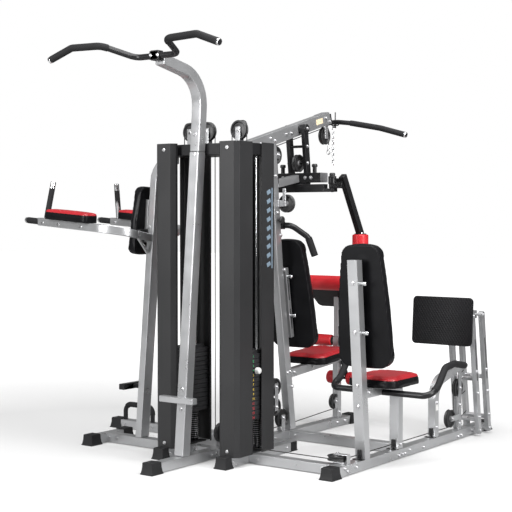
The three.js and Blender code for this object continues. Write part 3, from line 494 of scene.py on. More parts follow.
def inflate():
    """Blows up every cushion at once with a cloth simulation, then dresses them."""
    for c in cushions:
        o = c["o"]
        c["before"] = [v.co.copy() for v in o.data.vertices]
        held = o.vertex_groups.new(name="board")
        held.add([v.index for v in o.data.vertices if v.co.z < HELD], 1.0, "REPLACE")
        m = o.modifiers.new("fill", "CLOTH")
        s = m.settings
        s.quality = 4
        s.mass = 0.25
        s.air_damping = 2
        s.tension_stiffness = 25
        s.compression_stiffness = 25
        s.shear_stiffness = 12
        s.bending_stiffness = 2
        s.use_pressure = True
        s.uniform_pressure_force = 4
        s.vertex_group_mass = "board"
        s.effector_weights.gravity = 0
        m.collision_settings.use_collision = False
        m.collision_settings.use_self_collision = False
        m.point_cache.frame_start = 1
        m.point_cache.frame_end = LAST_FRAME
    for f in range(1, LAST_FRAME + 1):
        scene.frame_set(f)
    for c in cushions:
        o = c["o"]
        cap = c["swell"] / 1000
        soft = o.evaluated_get(bpy.context.evaluated_depsgraph_get()).to_mesh()
        after = [v.co.copy() for v in soft.vertices]
        o.modifiers.clear()
        o.vertex_groups.clear()
        for v, p, q in zip(o.data.vertices, c["before"], after):
            move = q - p
            if move.length > 1e-9:
                # Ease towards the cap, so that the swelling levels off without a step.
                move *= cap * math.tanh(move.length / cap) / move.length
            v.co = p + move
        dress(c)
    scene.frame_set(1)


def dress(c):
    """Paints a swollen pad's top and sides, sews its seam, pipes it and puts it in its place."""
    o = c["o"]
    mesh = o.data
    b = bmesh.new()
    b.from_mesh(mesh)
    level = min(c["seam"] * c["thick"] / 1000, max(v.co.z for v in b.verts) - SEAM_UNDER_TOP)
    bmesh.ops.bisect_plane(b, geom=b.verts[:] + b.edges[:] + b.faces[:], dist=1e-6,
                           plane_co=(0, 0, level), plane_no=(0, 0, 1))
    # The seam pulls in along its line.
    for v in b.verts:
        d = abs(v.co.z - level)
        if d < SEAM_REACH:
            v.co -= v.normal * SEAM_DEPTH * (1 - d / SEAM_REACH)
    for f in b.faces:
        f.smooth = True
        f.material_index = 0 if f.calc_center_median().z > level else 1
    mesh.materials.clear()
    mesh.materials.append(c["top"])
    mesh.materials.append(c["side"])
    b.to_mesh(mesh)
    tree = BVHTree.FromBMesh(b)
    b.free()
    # Piping along the seam, laid on the swollen surface.
    cord = bmesh.new()
    route = []
    cx = sum(p[0] for p in c["outline"]) / len(c["outline"])
    cy = sum(p[1] for p in c["outline"]) / len(c["outline"])
    for x, y in c["outline"][::2]:
        origin = Vector((cx + (x - cx) * 1.6, cy + (y - cy) * 1.6, level * 1000)) / 1000
        aim = Vector((cx - x, cy - y, 0)).normalized()
        hit = tree.ray_cast(origin, aim)[0]
        if hit:
            route.append(hit * 1000)
    route.append(route[0])
    place = c["place"]
    sweep(cord, [place @ p for p in route], [PIPING_R] * len(route), 8, caps=False)
    piping = bpy.data.meshes.new(o.name + "_piping")
    cord.to_mesh(piping)
    cord.free()
    put(o.name + "_piping", piping, c["body"], [VINYL])
    for f in piping.polygons:
        f.use_smooth = True
    mesh.transform(Matrix.Scale(0.001, 4) @ Matrix.Translation((0, -ORIGIN_Y, 0)) @ place
                   @ Matrix.Scale(1000, 4))
    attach(o, c["body"])
    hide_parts(c["replaces"])


def placed(u, v, w, origin):
    """The 4x4 that takes pad axes u, v, w to design directions at an origin."""
    m = Matrix([Vector(q).normalized() for q in (u, v, w)]).transposed().to_4x4()
    m.translation = origin
    return m


def roller(name, centre, axis, r, length, body, caps=True):
    """A foam roller with softly rounded ends and black plastic caps."""
    h = length / 2
    edge = [(r - 9, h), (r - 3, h - 1.5), (r, h - 7)]
    soft = [(0, -h)] + [(q, -v) for q, v in edge] + [(r + 0.6, 0)] + edge[::-1] + [(0, h)]
    lathe(name, [(soft, centre, axis)], body, RED_FOAM, 40, (), 50)
    if caps:
        cap = [(0, 0), (r - 12, 0), (r - 11, 3), (r - 16, 5.5), (0, 6)]
        lathe(name + "_caps", [(cap, *q) for q in ends(axis, centre, h)], body, PLASTIC)


# ------------------------------------------------------------------ main places, in mm
X, Y, Z = Vector((1, 0, 0)), Vector((0, 1, 0)), Vector((0, 0, 1))
SIDES = ((-1, "left"), (1, "right"))
TX = 214  # middle of each weight tower, left and right of X = 0
TY = 560  # middle of both towers, front to back
PX = 800  # middle of the leg press
LOW = 131  # axles of the pulleys on the base
TOP = 1768  # axles of the pulleys on the tower tops
STACK_Z, PLATE, PLATES = 233, 25, 14  # underside of a stack, height of a plate, plates in a stack
NUT_OUT = 20  # from a bracketed pulley's middle to the outside of its cheek
WRAP = 49  # from a pulley's axle to the middle of the cable round it
BASE_AXLES = {"front_spine_beam": (0, 609, LOW), "rear_spine_beam": (0, 1015, LOW)}
TOWER_AXLES = [(x, TY, TOP) for x in (-164, -49, 164)]
TOWER_FOOT_AXLE = (164, TY, LOW)
CORNER = (751, 609, 82)
MAST_FOOT = ((0, 1113, 322), (0, 1113, 206), (0, 1182, 134))
MAST_AXLE, SWIVEL_AXLE = (0, 1120, 1662), (62, 1150, 1384)
PRESS_AXLE = (0, 1356, 1624)
DEVELOPER_AXLE = (0, 1757, 160)
ARCH_LOW, ARCH_HIGH = (PX, 1752, LOW), (PX, 1850, 300)


def wheel_hole(axis, spot):
    """The box round a pulley of the CAD frame."""
    half = [12.3 if v else 53 for v in axis]
    return tuple(at(*(v + s * h for v, h in zip(spot, half))) for s in (-1, 1))


def ends(axis, spot, out=NUT_OUT):
    """Both ends of an axle: (place, outward axis)."""
    return [(Vector(spot) + axis * s * out, axis * s) for s in (-1, 1)]


def on_side(x, spots, axis=X):
    """Bolt places on a face at one x, from (y, z) pairs."""
    return [((x, y, z), axis) for y, z in spots]


def mirrored(half):
    """A route through points and their mirror images in X, from -X to +X."""
    return [(-x, y, z) for x, y, z in reversed(half)] + half


def sleeves(name, route, near, far, r, body, mat):
    """A pair of tubes over a bar, each from near to far in mm from one of its ends."""
    pipes(name, [(stretch(route, near, far), r), (stretch(route, -far, -near), r)], body, mat)


def gripped_bar(tube, stem, route, body, node, radii, grip):
    """A bent bar with foam grips and chrome ends. radii are those of the tube, the grips and the ends."""
    r, grip_r, end_r = radii
    pipes(tube, [(route, r)], body, BLACK, replaces=(node,))
    sleeves(f"{stem}_grips", route, 12, grip, grip_r, body, FOAM)
    sleeves(f"{stem}_ends", route, 0.01, 13, end_r, body, CHROME)


# ------------------------------------------------------------------ base frame
# Rubber end shoes: (x, y, along, toward), the end that each one closes.
SHOES = {"front_spine_beam": [(0, 0, "y", 1)], "tower_base_left": [(-TX, 330, "y", 1)],
         "tower_base_right": [(TX, 330, "y", 1)],
         "knee_raise_base": [(-800, 395, "y", 1), (-800, 745, "y", -1)],
         "rear_cross_beam": [(-1110, 960, "x", 1)], "rear_spine_beam": [(0, 1975, "y", -1)],
         "leg_press_base": [(PX, 430, "y", 1), (PX, 2240, "y", -1)]}
SHOE_PROFILE = ((38, 5, 0), (41, 8, 2), (41, 8, 6), (38, 5, 9), (34, 0, 34), (32.6, -1, 60), (30, -4, 62.5))


def shoe(b, x, y, along, toward, length):
    """An end shoe that flares out to a flat sole with a lip."""
    def ring(half, out, z):
        near, far = -out, length + out
        spots = [(-half, near), (half, near), (half, far), (-half, far)]
        if along == "y":
            return [b.verts.new(at(x + u, y + v * toward, z)) for u, v in spots]
        return [b.verts.new(at(x + v * toward, y + u, z)) for u, v in spots]

    rings = [ring(*q) for q in SHOE_PROFILE]
    for r0, r1 in zip(rings, rings[1:]):
        for i in range(4):
            b.faces.new((r0[i], r0[(i + 1) % 4], r1[(i + 1) % 4], r1[i]))
    b.faces.new(rings[0])
    b.faces.new(rings[-1])


def shoe_zone(x, y, along, toward, length):
    """The box round a shoe of the CAD frame."""
    lo, hi = sorted((-9.5 * toward, (length + 9.5) * toward))
    return (span(x - 42, x + 42, y + lo, y + hi, -1, 63) if along == "y"
            else span(x + lo, x + hi, y - 42, y + 42, -1, 63))


shoes = bmesh.new()
for node, places in SHOES.items():
    sized = [(*q, 54 if "tower" in node else 75) for q in places]
    foot = [(span(180, 250, 925, 1000, -1, 60), RUBBER)] if node == "rear_cross_beam" else []
    holes = [wheel_hole(X, BASE_AXLES[node])] if node in BASE_AXLES else []
    skin(node, SILVER, foot, drop=[shoe_zone(*q) for q in sized] + holes)
    for q in sized:
        shoe(shoes, *q)
bmesh.ops.recalc_face_normals(shoes, faces=shoes.faces)
piece(shoes, "base_shoes", "frame", RUBBER, 12, 1.2)
wheel("base_pulley_front", BASE_AXLES["front_spine_beam"], X, "frame")
wheel("base_pulley_rear", BASE_AXLES["rear_spine_beam"], X, "frame")
# Pulleys beside the mast's foot: two in a hanging block and one on the beam.
for i, spot in enumerate(MAST_FOOT):
    wheel(f"mast_foot_pulley_{i}", spot, X, "frame")
boxes("mast_foot_brackets", [((4, 30, 160), (s * 16, 1113, 264), None) for s in (-1, 1)]
      + [((4, 34, 100), (s * 16, 1182, 104), None) for s in (-1, 1)], "frame", SILVER)
bolts("mast_foot_nuts", "frame", [n for spot in MAST_FOOT for n in ends(X, spot, 18)])
boxes("leg_press_base_sleeve", [((62.6, 97, 47), (PX, 1196, 31), None)], "frame", SILVER, 1)
hoop = rounded([(-1020, 960, 55.4), (-1020, 960, 150), (-800, 960, 150), (-800, 960, 55.4)], 62)
pipes("push_up_hoop", [(hoop, 14)], "frame", BLACK, replaces=("push_up_handle",))
pipes("push_up_grip", [(stretch(hoop, 85, 325), 16.5)], "frame", FOAM)
wheel("corner_wheel", CORNER, Z, "pulley_corner", replaces=("corner_pulley",))
bolts("base_bolts", "frame",
      on_side(830, ((560, 40), (580, 24), (666, 32), (1107, 20), (1143, 22), (1382, 24), (1807, 20),
                    (1847, 24), (2110, 30)))
      + on_side(831.4, ((1172, 22), (1222, 34)))
      + [((x, 535, 30), -Y) for x in (-760, -700, -300, -120, 120, 300, 705, 745)]
      + on_side(30, [(y, 30) for y in (490, 530, 1040, 1080, 1300, 1750, 1840)])
      + [q for s in (-1, 1) for q in on_side(s * TX + 30, ((890, 30), (400, 30)))]
      + [((x, 1225, 30), -Y) for x in (70, 715)]
      + [((x, 930, 30), -Y) for x in (-150, -60, 60, 150, -780, -1000)]
      + [n for spot in BASE_AXLES.values() for n in ends(X, spot)]
      + [(Vector(CORNER) + Z * 21.2, Z)], 7.5)

# ------------------------------------------------------------------ weight towers
KNOB = [(0, 0), (14, 0), (17, 3), (17, 20), (14, 25), (6, 27), (0, 27)]
PIN = [(0, 0), (5, 0), (5, 62), (0, 62)]
SPRING_R, SPRING_TURN, SPRING_STEPS, SPRING_RISE = 19, 10, 144, 1.12  # SPRING_TURN steps make one turn


def spring(x, y):
    """A coil spring's route round a buffer sleeve, below the stack."""
    turns = [(k / SPRING_TURN * math.tau, 67 + k * SPRING_RISE) for k in range(SPRING_STEPS)]
    return [Vector((x + SPRING_R * math.cos(a), y + SPRING_R * math.sin(a), z)) for a, z in turns]


for s, side in SIDES:
    for place in ("front", "rear"):
        skin(f"shroud_{side}_{place}", SHROUD, bevel=0.8)
    skin(f"guide_rods_{side}", CHROME, [(span(s * TX - 55, s * TX + 55, 430, 690, 58, 234), BLACK)],
         drop=[wheel_hole(Y, TOWER_FOOT_AXLE)] if s > 0 else [], bevel=1)
    pipes(f"buffer_springs_{side}", [(spring(s * TX, TY + e * 90), 2.6) for e in (-1, 1)],
          "frame", ZINC, sides=6)
    skin(f"rest_plates_{side}", IRON, bevel=1.6)
    stem = span(s * TX - 12, s * TX + 12, 548, 572, 600, 700)
    skin(f"lifted_plates_{side}", IRON, [(stem, CHROME)], bevel=1.6)
    pin_z = STACK_Z + 10.5 * PLATE
    lathe(f"selector_knob_{side}", [(KNOB, (s * 274, TY, pin_z), X * s)], f"pin_{side}", NUMBER["white"])
    lathe(f"selector_rod_{side}", [(PIN, (s * TX, TY, pin_z), X * s)], f"pin_{side}", CHROME,
          replaces=(f"selector_pin_{side}",))
    bolts(f"shroud_bolts_{side}", "frame",
          [((s * TX, TY + e * 175, z), Y * e) for e in (-1, 1) for z in (84, 1667)], 7)
wheel("base_pulley_right", TOWER_FOOT_AXLE, Y, "frame")
skin("top_cross_member", BLACK, [(span(-300, 300, 500, 620, 1701, 1900), SILVER)],
     drop=[wheel_hole(Y, spot) for spot in TOWER_AXLES[:2]])
wheel("top_pulley_left", TOWER_AXLES[0], Y, "frame")
wheel("top_pulley_middle", TOWER_AXLES[1], Y, "frame")
wheel("top_wheel_right", TOWER_AXLES[2], Y, "pulley_top", replaces=("top_pulley_right",))
bolts("tower_pulley_nuts", "frame", [n for spot in TOWER_AXLES + [TOWER_FOOT_AXLE] for n in ends(Y, spot)], 8)


FONT_SIZE = 20


def numbers(name, items, body, mat):
    """Flat figures on a side wall: items are (text, centre, s) with s the side that they face."""
    b = bmesh.new()
    for word, centre, s in items:
        curve = bpy.data.curves.new(name, "FONT")
        curve.body, curve.size, curve.extrude = word, FONT_SIZE, 0.2
        curve.align_x = curve.align_y = "CENTER"
        o = bpy.data.objects.new(name, curve)
        scene.collection.objects.link(o)
        bpy.context.view_layer.update()
        mesh = bpy.data.meshes.new_from_object(o.evaluated_get(bpy.context.evaluated_depsgraph_get()))
        bpy.data.objects.remove(o)
        mesh.transform(Matrix.Translation(at(*centre)) @ Matrix.Scale(0.001, 4)
                       @ placed((0, s, 0), Z, (s, 0, 0), (0, 0, 0)))
        b.from_mesh(mesh)
    mesh = bpy.data.meshes.new(name)
    b.to_mesh(mesh)
    b.free()
    put(name, mesh, body, [mat])


# Each plate has its number: green, then yellow, then red downwards. The green ones are on the lifted plates.
for s, side in SIDES:
    for colour, first, count in (("green", 1, 4), ("yellow", 5, 6), ("red", 11, 4)):
        numbers(f"plate_numbers_{side}_{colour}",
                [(str(i), (s * 264.3, 549, STACK_Z + (PLATES - i) * PLATE + 11.7), s)
                 for i in range(first, first + count)],
                f"stack_{side}" if colour == "green" else "frame", NUMBER[colour])
# A plain blue-grey band with short bars on the right tower's outer side.
tilt = Matrix.Rotation(math.radians(24), 3, "X")
boxes("tower_band", [((0.6, 9, 430), (281.2, 694, 1247), None)]
      + [((0.6, 34, 22), (281.2, 664, 1055 + 48 * i), tilt) for i in range(9)], "frame", DECAL, 0.1)

# ------------------------------------------------------------------ pull-up station
skin("pull_up_post_lower", SILVER, bevel=4)
skin("pull_up_post_upper", SILVER, bevel=4)
post_front = lambda z: 247 + (z - 55.35) * 133 / 1600
bolts("post_bolts", "frame", [((0, post_front(z), z), (0, -1, 0.083)) for z in (299, 403, 1638, 1743)]
      + [((-30, post_front(z) + 30, z), -X) for z in (1600, 1620)])
head = rounded(mirrored([(140, 84, 2121), (215, -95, 2168), (412, -105, 2172), (560, -117, 2118)]), 55)
gripped_bar("pull_up_tube", "pull_up", head, "frame", "pull_up_bar", (15.8, 18.5, 17), 385)
boxes("pull_up_clamp", [((50, 44, 50), (0, 84, 2122), None), ((64, 8, 44), (0, 66, 2122), None)],
      "frame", BLACK, 3)
bolts("clamp_bolts", "frame", [((x, 62, 2122), -Y) for x in (-23, 23)], 6)

# ------------------------------------------------------------------ knee-raise station
ARM_SLOPE = 0.078
KNEE_X = lambda z: -534 + 0.074 * (z - 60)
ARM_Z = lambda x: 1234 + (-440 - x) * ARM_SLOPE
skin("knee_raise_upright", SILVER, bevel=4)
skin("knee_raise_step", BLACK, bevel=3)
rise = Vector((-1, 0, ARM_SLOPE)).normalized()
for s, side in ((-1, "near"), (1, "far")):
    y = TY + 5 + s * 300
    skin(f"knee_raise_arm_{side}", SILVER, bevel=3.5)
    up = [Vector((-984, y, ARM_Z(-984) + 24)), Vector((-968, y - s * 38, 1505))]
    pipes(f"knee_raise_grip_{side}", [(stretch(up, 0, 172), 16)], "frame", FOAM)
    pipes(f"knee_raise_tip_{side}", [(stretch(up, 170, (up[1] - up[0]).length), 15)], "frame", CHROME)
    out = [Vector((-1036, y, ARM_Z(-1036))), Vector((-1150, y, ARM_Z(-1150)))]
    pipes(f"dip_grip_{side}", [(stretch(out, 0, 100), 18)], "frame", FOAM)
    pipes(f"dip_tip_{side}", [(stretch(out, 98, 114.2), 16)], "frame", CHROME)
    cushion(f"forearm_cushion_{side}", pad_outline(112, 330, 26, 26), 56,
            placed(Y, rise, Y.cross(rise), (-795, y, ARM_Z(-795) + 22.4)), "frame", RED, VINYL,
            seam=0.7, swell=6, replaces=f"forearm_pad_{side}")
    bolts(f"knee_raise_arm_bolts_{side}", "frame",
          [((x, y + e * 20, ARM_Z(x) - 4), Y * e) for x in (-1000, -875, -700) for e in (-1, 1)], 6.5)
lean = Matrix.Rotation(math.radians(4.2), 4, "Y")
KNEE_PAD = Matrix.Translation((KNEE_X(1285) - 45, TY + 5, 1285)) @ lean
cushion("knee_raise_back_cushion", pad_outline(205, 385, 40, 40, 130), 60,
        KNEE_PAD @ placed(-Y, Z, -X, (0, 0, 0)), "frame", RED, VINYL,
        seam=1.02, swell=8, replaces="knee_raise_back_pad")
boxes("knee_raise_back_board", [((22, 48, 240), KNEE_PAD @ Vector((10.5, 0, 0)), lean.to_3x3())],
      "frame", SILVER)
bolts("knee_raise_bolts", "frame", [((KNEE_X(z), 530, z), -Y) for z in (1250, 1107)]
      + [((KNEE_X(z), 600, z), Y) for z in (1250, 1107)]
      + [(KNEE_PAD @ Vector((22, 0, z)), (1, 0, -0.07)) for z in (-90, 90)], 7.5)
boxes("knee_raise_bracket", [((30, 190, 44), (-470, TY + 5, 1217), None)], "frame", BLACK, 3)

# ------------------------------------------------------------------ main station
SLOPE = 0.266  # rise of the boom
CABLE_UP = WRAP / math.cos(math.atan(SLOPE))  # from an axle line straight up to the cable over its pulleys
LAT_Y = 1640  # the pulley over the lat bar
boom_top = lambda y: 1744 + SLOPE * (y - 895)
cable_z = lambda y: MAST_AXLE[2] + CABLE_UP + SLOPE * (y - MAST_AXLE[1])
boom_turn = Matrix.Rotation(math.atan(SLOPE), 3, "X")
skin("mast", SILVER, bevel=3, drop=[wheel_hole(X, MAST_AXLE), wheel_hole(Y, SWIVEL_AXLE)])
wheel("mast_pulley", MAST_AXLE, X, "frame")
wheel("swivel_pulley", SWIVEL_AXLE, Y, "frame")
skin("boom", SILVER, [(span(-18, 18, 1657, 1830, 1850, 1990), BLACK)])
boxes("boom_end_cap", [((48, 8, 62), (0, 1683, boom_top(1683) - 46), boom_turn)], "frame", BLACK, 2)
boxes("boom_top_plate", [((46, 92, 3), (0, 1600, boom_top(1600) + 1.5), boom_turn)], "frame", GREY_CAP, 0.8)
boxes("boom_label", [((0.6, 74, 32), (25.3, 1548, boom_top(1548) - 36), boom_turn)], "frame", CREAM, 0.1)
bolts("boom_bolts", "frame", [((25, y, boom_top(y) - d), X) for y, d in (
    (950, 40), (1044, 30), (1085, 52), (1199, 40), (1250, 44), (1620, 30), (1664, 60))], 7.5)
wheel("lat_wheel", (0, LAT_Y, cable_z(LAT_Y) - CABLE_UP), X, "pulley_lat", replaces=("lat_pulley",))
lat_half = [(120, 1764, 1881), (320, 1764, 1843), (500, 1764, 1793)]
lat = rounded(mirrored(lat_half)[:3] + [(0, 1764, 1895)] + lat_half, 300, 4)
gripped_bar("lat_bar_tube", "lat_bar", lat, "lat_bar_body", "lat_bar", (14.5, 17.5, 16), 400)
boxes("lat_bar_eye", [((6, 36, 9), (0, 1752, 1861), None), ((6, 14, 24), (0, 1763, 1869), None)],
      "lat_bar_body", BLACK, 1)
skin("lat_chain", CHROME, bevel=0)
skin("cable_end_clip", CHROME, bevel=0.6)
handle = rounded(mirrored([(75, 1178, 1258), (150, 1240, 1190), (180, 1265, 1080)]), 60)
pipes("shoulder_handle", [(handle, 17)], "frame", BLACK, replaces=("shoulder_handle_bar",))
sleeves("shoulder_grips", handle, 0.5, 110, 20.5, "frame", FOAM)
boxes("shoulder_clamp", [((60, 34, 44), (0, 1163, 1258), None)], "frame", BLACK, 2)
skin("press_arm", BLACK, [(span(167.5, 172, 1300, 1500, 1400, 1600), GREY_CAP)], bevel=3)
wheel("press_wheel", PRESS_AXLE, X, "pulley_press", replaces=("press_pulley",))
bolts("press_bolts", "press", ends(X, (0, 1340, 1826), 76) + ends(X, PRESS_AXLE, 67)
      + ends(X, (0, 1353, 1722), 67) + [((x, 1340, 1538), -Y) for x in (-100, -60, 60, 100)], 7.5)
DOME = [(0, 0), (15, 0), (17, 3), (17, 14), (13, 19), (0, 20)]
COLLAR = [(12, 0), (22, 0), (22, 8), (12, 8), (12, 0)]
lathe("press_knobs", [(DOME, (x, 1374, 1600), Z) for x in (-122, 105)], "press", PLASTIC)
for s, side in SIDES:
    arm, x, y = f"butterfly_{side}", s * 322, 1535
    skin(f"butterfly_arm_{side}", BLACK, bevel=3, drop=[span(x - 48, x + 48, y - 48, y + 48, 912, 1204)])
    roller(f"butterfly_roller_{side}", (x, y, 1058), Z, 47.5, 292, arm)
    lathe(f"butterfly_cap_{side}", [(DOME, (s * 250, 1340, 1543), Z)], arm, PLASTIC)
    lathe(f"butterfly_collar_{side}", [(COLLAR, (x, y, 1206), Z)], arm, CHROME)


def back_place(x, y, z, angle):
    """The place of a back pad that leans back by an angle in degrees."""
    return (Matrix.Translation((x, y, z)) @ Matrix.Rotation(math.radians(angle), 4, "X")
            @ placed(-X, Z, Y, (0, 0, 0)))


back_outline = pad_outline(318, 645, 66, 70, 220)
cushion("main_back_cushion", back_outline, 70, back_place(0, 1258, 853, 8.1), "frame", RED, VINYL,
        seam=1.02, swell=9, replaces="main_back_pad")
rail_turn = Matrix.Rotation(math.atan(63 / 410), 3, "X")
rail_y = lambda z: 1239.5 - 0.1537 * (z - 805)
boxes("pad_rail", [((42, 30, 415), (0, rail_y(805), 805), rail_turn), ((16, 34, 16), (0, 1237, 985), None),
                   ((16, 36, 16), (0, 1279, 690), None)], "frame", SILVER, 2)
# Painted shade: black boxes stand for the dark insides of the rail's two slots, which are not cut.
boxes("pad_rail_slot_shade", [((43, 8, 120), (0, rail_y(z), z), rail_turn) for z in (710, 880)], "frame", BLACK, 1)
mast_knob = [(0, 0), (8, 0), (8, 14), (19, 16), (21, 20), (21, 30), (17, 35), (0, 36)]
lathe("mast_knob", [(mast_knob, (24, 1118, 1290), X)], "frame", PLASTIC)
bolts("mast_bolts", "frame",
      on_side(24, ((1180, 1000), (1143, 1200), (1112, 1330), (1092, 1540), (1260, 310), (1240, 400),
                   (1215, 395)))
      + ends(X, MAST_AXLE, 27) + [((62, 1167, 1384), Y)], 8)
skin("main_seat_frame", SILVER, bevel=3,
     drop=[span(s * 118 - 83, s * 118 + 83, 1754, 1826, 499, 571) for s in (-1, 1)])
for s, side in SIDES:
    roller(f"thigh_roller_{side[0]}", (s * 118, 1790, 535), X, 35.5, 166, "frame")
seat_outline = pad_outline(300, 350, 105, 60, 285)
cushion("main_seat_cushion", seat_outline, 54,
        Matrix.Translation((0, 1576, 441)) @ Matrix.Rotation(math.radians(4.6), 4, "X"), "frame", RED, VINYL,
        seam=0.72, swell=8, replaces="main_seat_pad")
skin("leg_lever", BLACK, bevel=2,
     drop=[span(s * 72 - 33.2, s * 72 + 33.2, 1820, 1904, 253, 337) for s in (-1, 1)])
for s, side in SIDES:
    roller(f"leg_roller_{side[0]}", (s * 72, 1862, 295), X, 40.5, 67, "leg_developer")
bolts("seat_bolts", "frame", ends(X, (0, 1790, 430), 23)
      + on_side(22, ((1290, 390), (1480, 405), (1690, 422))) + on_side(20, ((1790, 90), (1790, 590))))
slant = Vector((0, 180, -145)).normalized()
curl_up = X.cross(slant)
cushion("curl_cushion", pad_outline(360, 230, 20, 30), 56,
        placed(-X, -slant, curl_up, Vector((0, 1790, 832.5)) - curl_up * 28), "frame", VINYL, VINYL,
        seam=0.5, swell=5, replaces="curl_pad")
roller("curl_roll", (0, 1700, 900), X, 45, 360, "frame", caps=False)
boxes("curl_post", [((32, 32, 280), (0, 1790, 700.5), None)], "frame", SILVER, 3)
wheel("leg_developer_pulley", DEVELOPER_AXLE, X, "frame", 46)
bolts("leg_developer_nuts", "frame", ends(X, DEVELOPER_AXLE, 17), 8)
boxes("leg_developer_bracket", [((5, 30, 70), (s * 15, 1760, 150), None) for s in (-1, 1)], "frame", SILVER)

# ------------------------------------------------------------------ leg press
post_y = lambda z: 752 - 0.0866 * (z - 70)
skin("leg_press_back_post", SILVER, bevel=4, clamp=True)
cushion("leg_press_back_cushion", back_outline, 70, back_place(PX, post_y(844) + 80, 844, 4.95), "frame",
        RED, VINYL, seam=1.02, swell=9, replaces="leg_press_back_pad")
boxes("leg_press_seat_post", [((50, 370, 48), (PX, 965, 394), None), ((56, 50, 345), (PX, 1125, 228), None)],
      "frame", SILVER, 3, replaces=("leg_press_seat_frame",))
cushion("leg_press_seat_cushion", seat_outline, 53, Matrix.Translation((PX, 1008, 418.4)), "frame",
        RED, VINYL, seam=0.72, swell=8, replaces="leg_press_seat_pad")
bolts("leg_press_bolts", "frame", [((PX, post_y(z), z), (0, -1, -0.087)) for z in (967, 713, 437, 328)]
      + on_side(825, ((800, 395), (1000, 395), (1080, 395))) + on_side(828, ((1125, 80), (1125, 380))))
STUD = [(0, 0), (6.5, 0), (6.5, 22), (10.5, 22), (10.5, 34), (7, 37), (0, 37)]
lathe("pad_studs", [(STUD, (829, post_y(z) + 26, z), X) for z in (967, 713)]
      + [(STUD, (21, rail_y(z), z), X) for z in (730, 960)], "frame", CHROME, 20)
grip_half = [(300, 940, 384), (300, 1030, 425), (300, 1112, 516), (300, 1215, 527), (300, 1345, 504)]
grip = rounded([(PX + x, y, z) for x, y, z in mirrored(grip_half)], 48)
gripped_bar("leg_press_handle", "leg_press", grip, "frame", "leg_press_handle_bar", (16.5, 18.5, 17), 400)
skin("leg_press_pulley_arch", SILVER, clamp=True, drop=[wheel_hole(X, ARCH_LOW), wheel_hole(X, ARCH_HIGH)])
wheel("arch_pulley_low", ARCH_LOW, X, "frame")
wheel("arch_pulley_high", ARCH_HIGH, X, "frame")
bolts("arch_bolts", "frame", ends(X, ARCH_LOW) + ends(X, ARCH_HIGH)
      + on_side(819, ((1850, 90), (1850, 200), (1850, 420))) + on_side(822, ((1552, 110), (1552, 250))))
boxes("arch_label", [((0.6, 30, 52), (822.3, 1554, 232), None)], "frame", NUMBER["white"], 0.1)
boxes("cable_guides", [((20, 12, 46), (PX, y, 84), None) for y in (743, 1093, 1523)], "frame", RUBBER, 2)
boxes("guide_feet", [((64, 26, 3), (PX, y, 57), None) for y in (735, 1085, 1515)], "frame", BLACK, 0.8)
skin("leg_press_lever_front", SILVER, clamp=True)
skin("leg_press_lever_rear", SILVER, clamp=True)
lever_turn = Matrix.Rotation(math.atan(98 / 690), 3, "X")
for i, place in enumerate(("front", "rear")):
    low, top = Vector((PX, 1990 + 130 * i, 34)), Vector((PX, 1892 + 130 * i, 724))
    spots = [low.lerp(top, t) for t in (0.12, 0.33, 0.52)] + [low, top]
    bolts(f"lever_bolts_{place}", f"lever_{place}", [n for q in spots for n in ends(X, q, 83)], 8)
    # Painted shade: a thin black box on the lever's outer side stands for the dark inside of its slot, which
    # is not cut.
    boxes(f"lever_slot_{place}", [((2, 7, 250), low.lerp(top, 0.62) + X * 83.2, lever_turn)],
          f"lever_{place}", BLACK, 0.5)
skin("foot_plate", SILVER, [(span(600, 1000, 1600, 1668, 500, 900), TREAD)])

# ------------------------------------------------------------------ cables
STACK_TOP = 633.4  # of a stem on its lifted plates
CABLE_R = 2.6
OVER = TOP + WRAP  # the cable over the pulleys on the tower tops
UNDER = LOW - WRAP  # the cable under the pulleys on the base


def cable(name, points, follow=None, replaces=()):
    """A steel cable in its black coat. With follow given, it rides on no body and its place is baked into its
    mesh; the body names in follow are not used.
    """
    o = pipes(name, [(rounded(points, WRAP), CABLE_R)], None if follow else "frame", CABLE, 10, replaces)
    if follow:
        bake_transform(o)


cable("cable_left_stack", [(-213, TY, TOP), (-213, TY, STACK_TOP)], follow=("frame", "stack_left"))
cable("cable_main", [(-213, TY, TOP - 2), (-213, TY, OVER), (0, TY, OVER), (0, TY, UNDER), (0, 1064, UNDER),
                     (0, 1071, cable_z(1071)), (0, 1689, cable_z(1689)), (0, 1689, 1800)],
      replaces=("main_cable",))
cable("cable_lat_end", [(0, 1689, 1802), (0, 1689, 1744.5)], follow=("frame", "cable_end"))
cable("cable_right_stack", [(213, TY, TOP), (213, TY, STACK_TOP)], follow=("frame", "stack_right"))
cable("cable_leg_press", [(213, TY, TOP - 2), (213, TY, OVER), (115, TY, OVER), (115, TY, UNDER),
                          (PX, TY, UNDER), (PX, 1801, UNDER), (PX, 1801, 349), (PX, 1852, 349)],
      replaces=("leg_press_cable",))
cable("cable_lever", [(PX, 1850, 349), (PX, 1931, 349)], follow=("frame", "lever_front"))
for i, (z0, y1, z1) in enumerate(((372, 1936, 398), (245, 1955, 270), (110, 1970, 150))):
    cable(f"cable_link_{i}", [(PX, 1866, z0), (PX, y1, z1)], follow=("frame", "lever_front"))
cable("cable_developer", [(0, 1010, UNDER), (0, 1345, 92), (0, 1757, 114)])

inflate()

# ------------------------------------------------------------------ studio
b = bmesh.new()
bmesh.ops.create_grid(b, x_segments=1, y_segments=1, size=30)
floor = bpy.data.meshes.new("floor")
b.to_mesh(floor)
b.free()
ground = bpy.data.objects.new("floor", floor)
scene.collection.objects.link(ground)
pale = bpy.data.materials.new("floor_paint")
pale.use_nodes = True
paint = pale.node_tree.nodes["Principled BSDF"]
paint.inputs["Roughness"].default_value = 0.8
paint.inputs["Specular IOR Level"].default_value = 0.0
paint.inputs["Emission Color"].default_value = (1, 1, 1, 1)
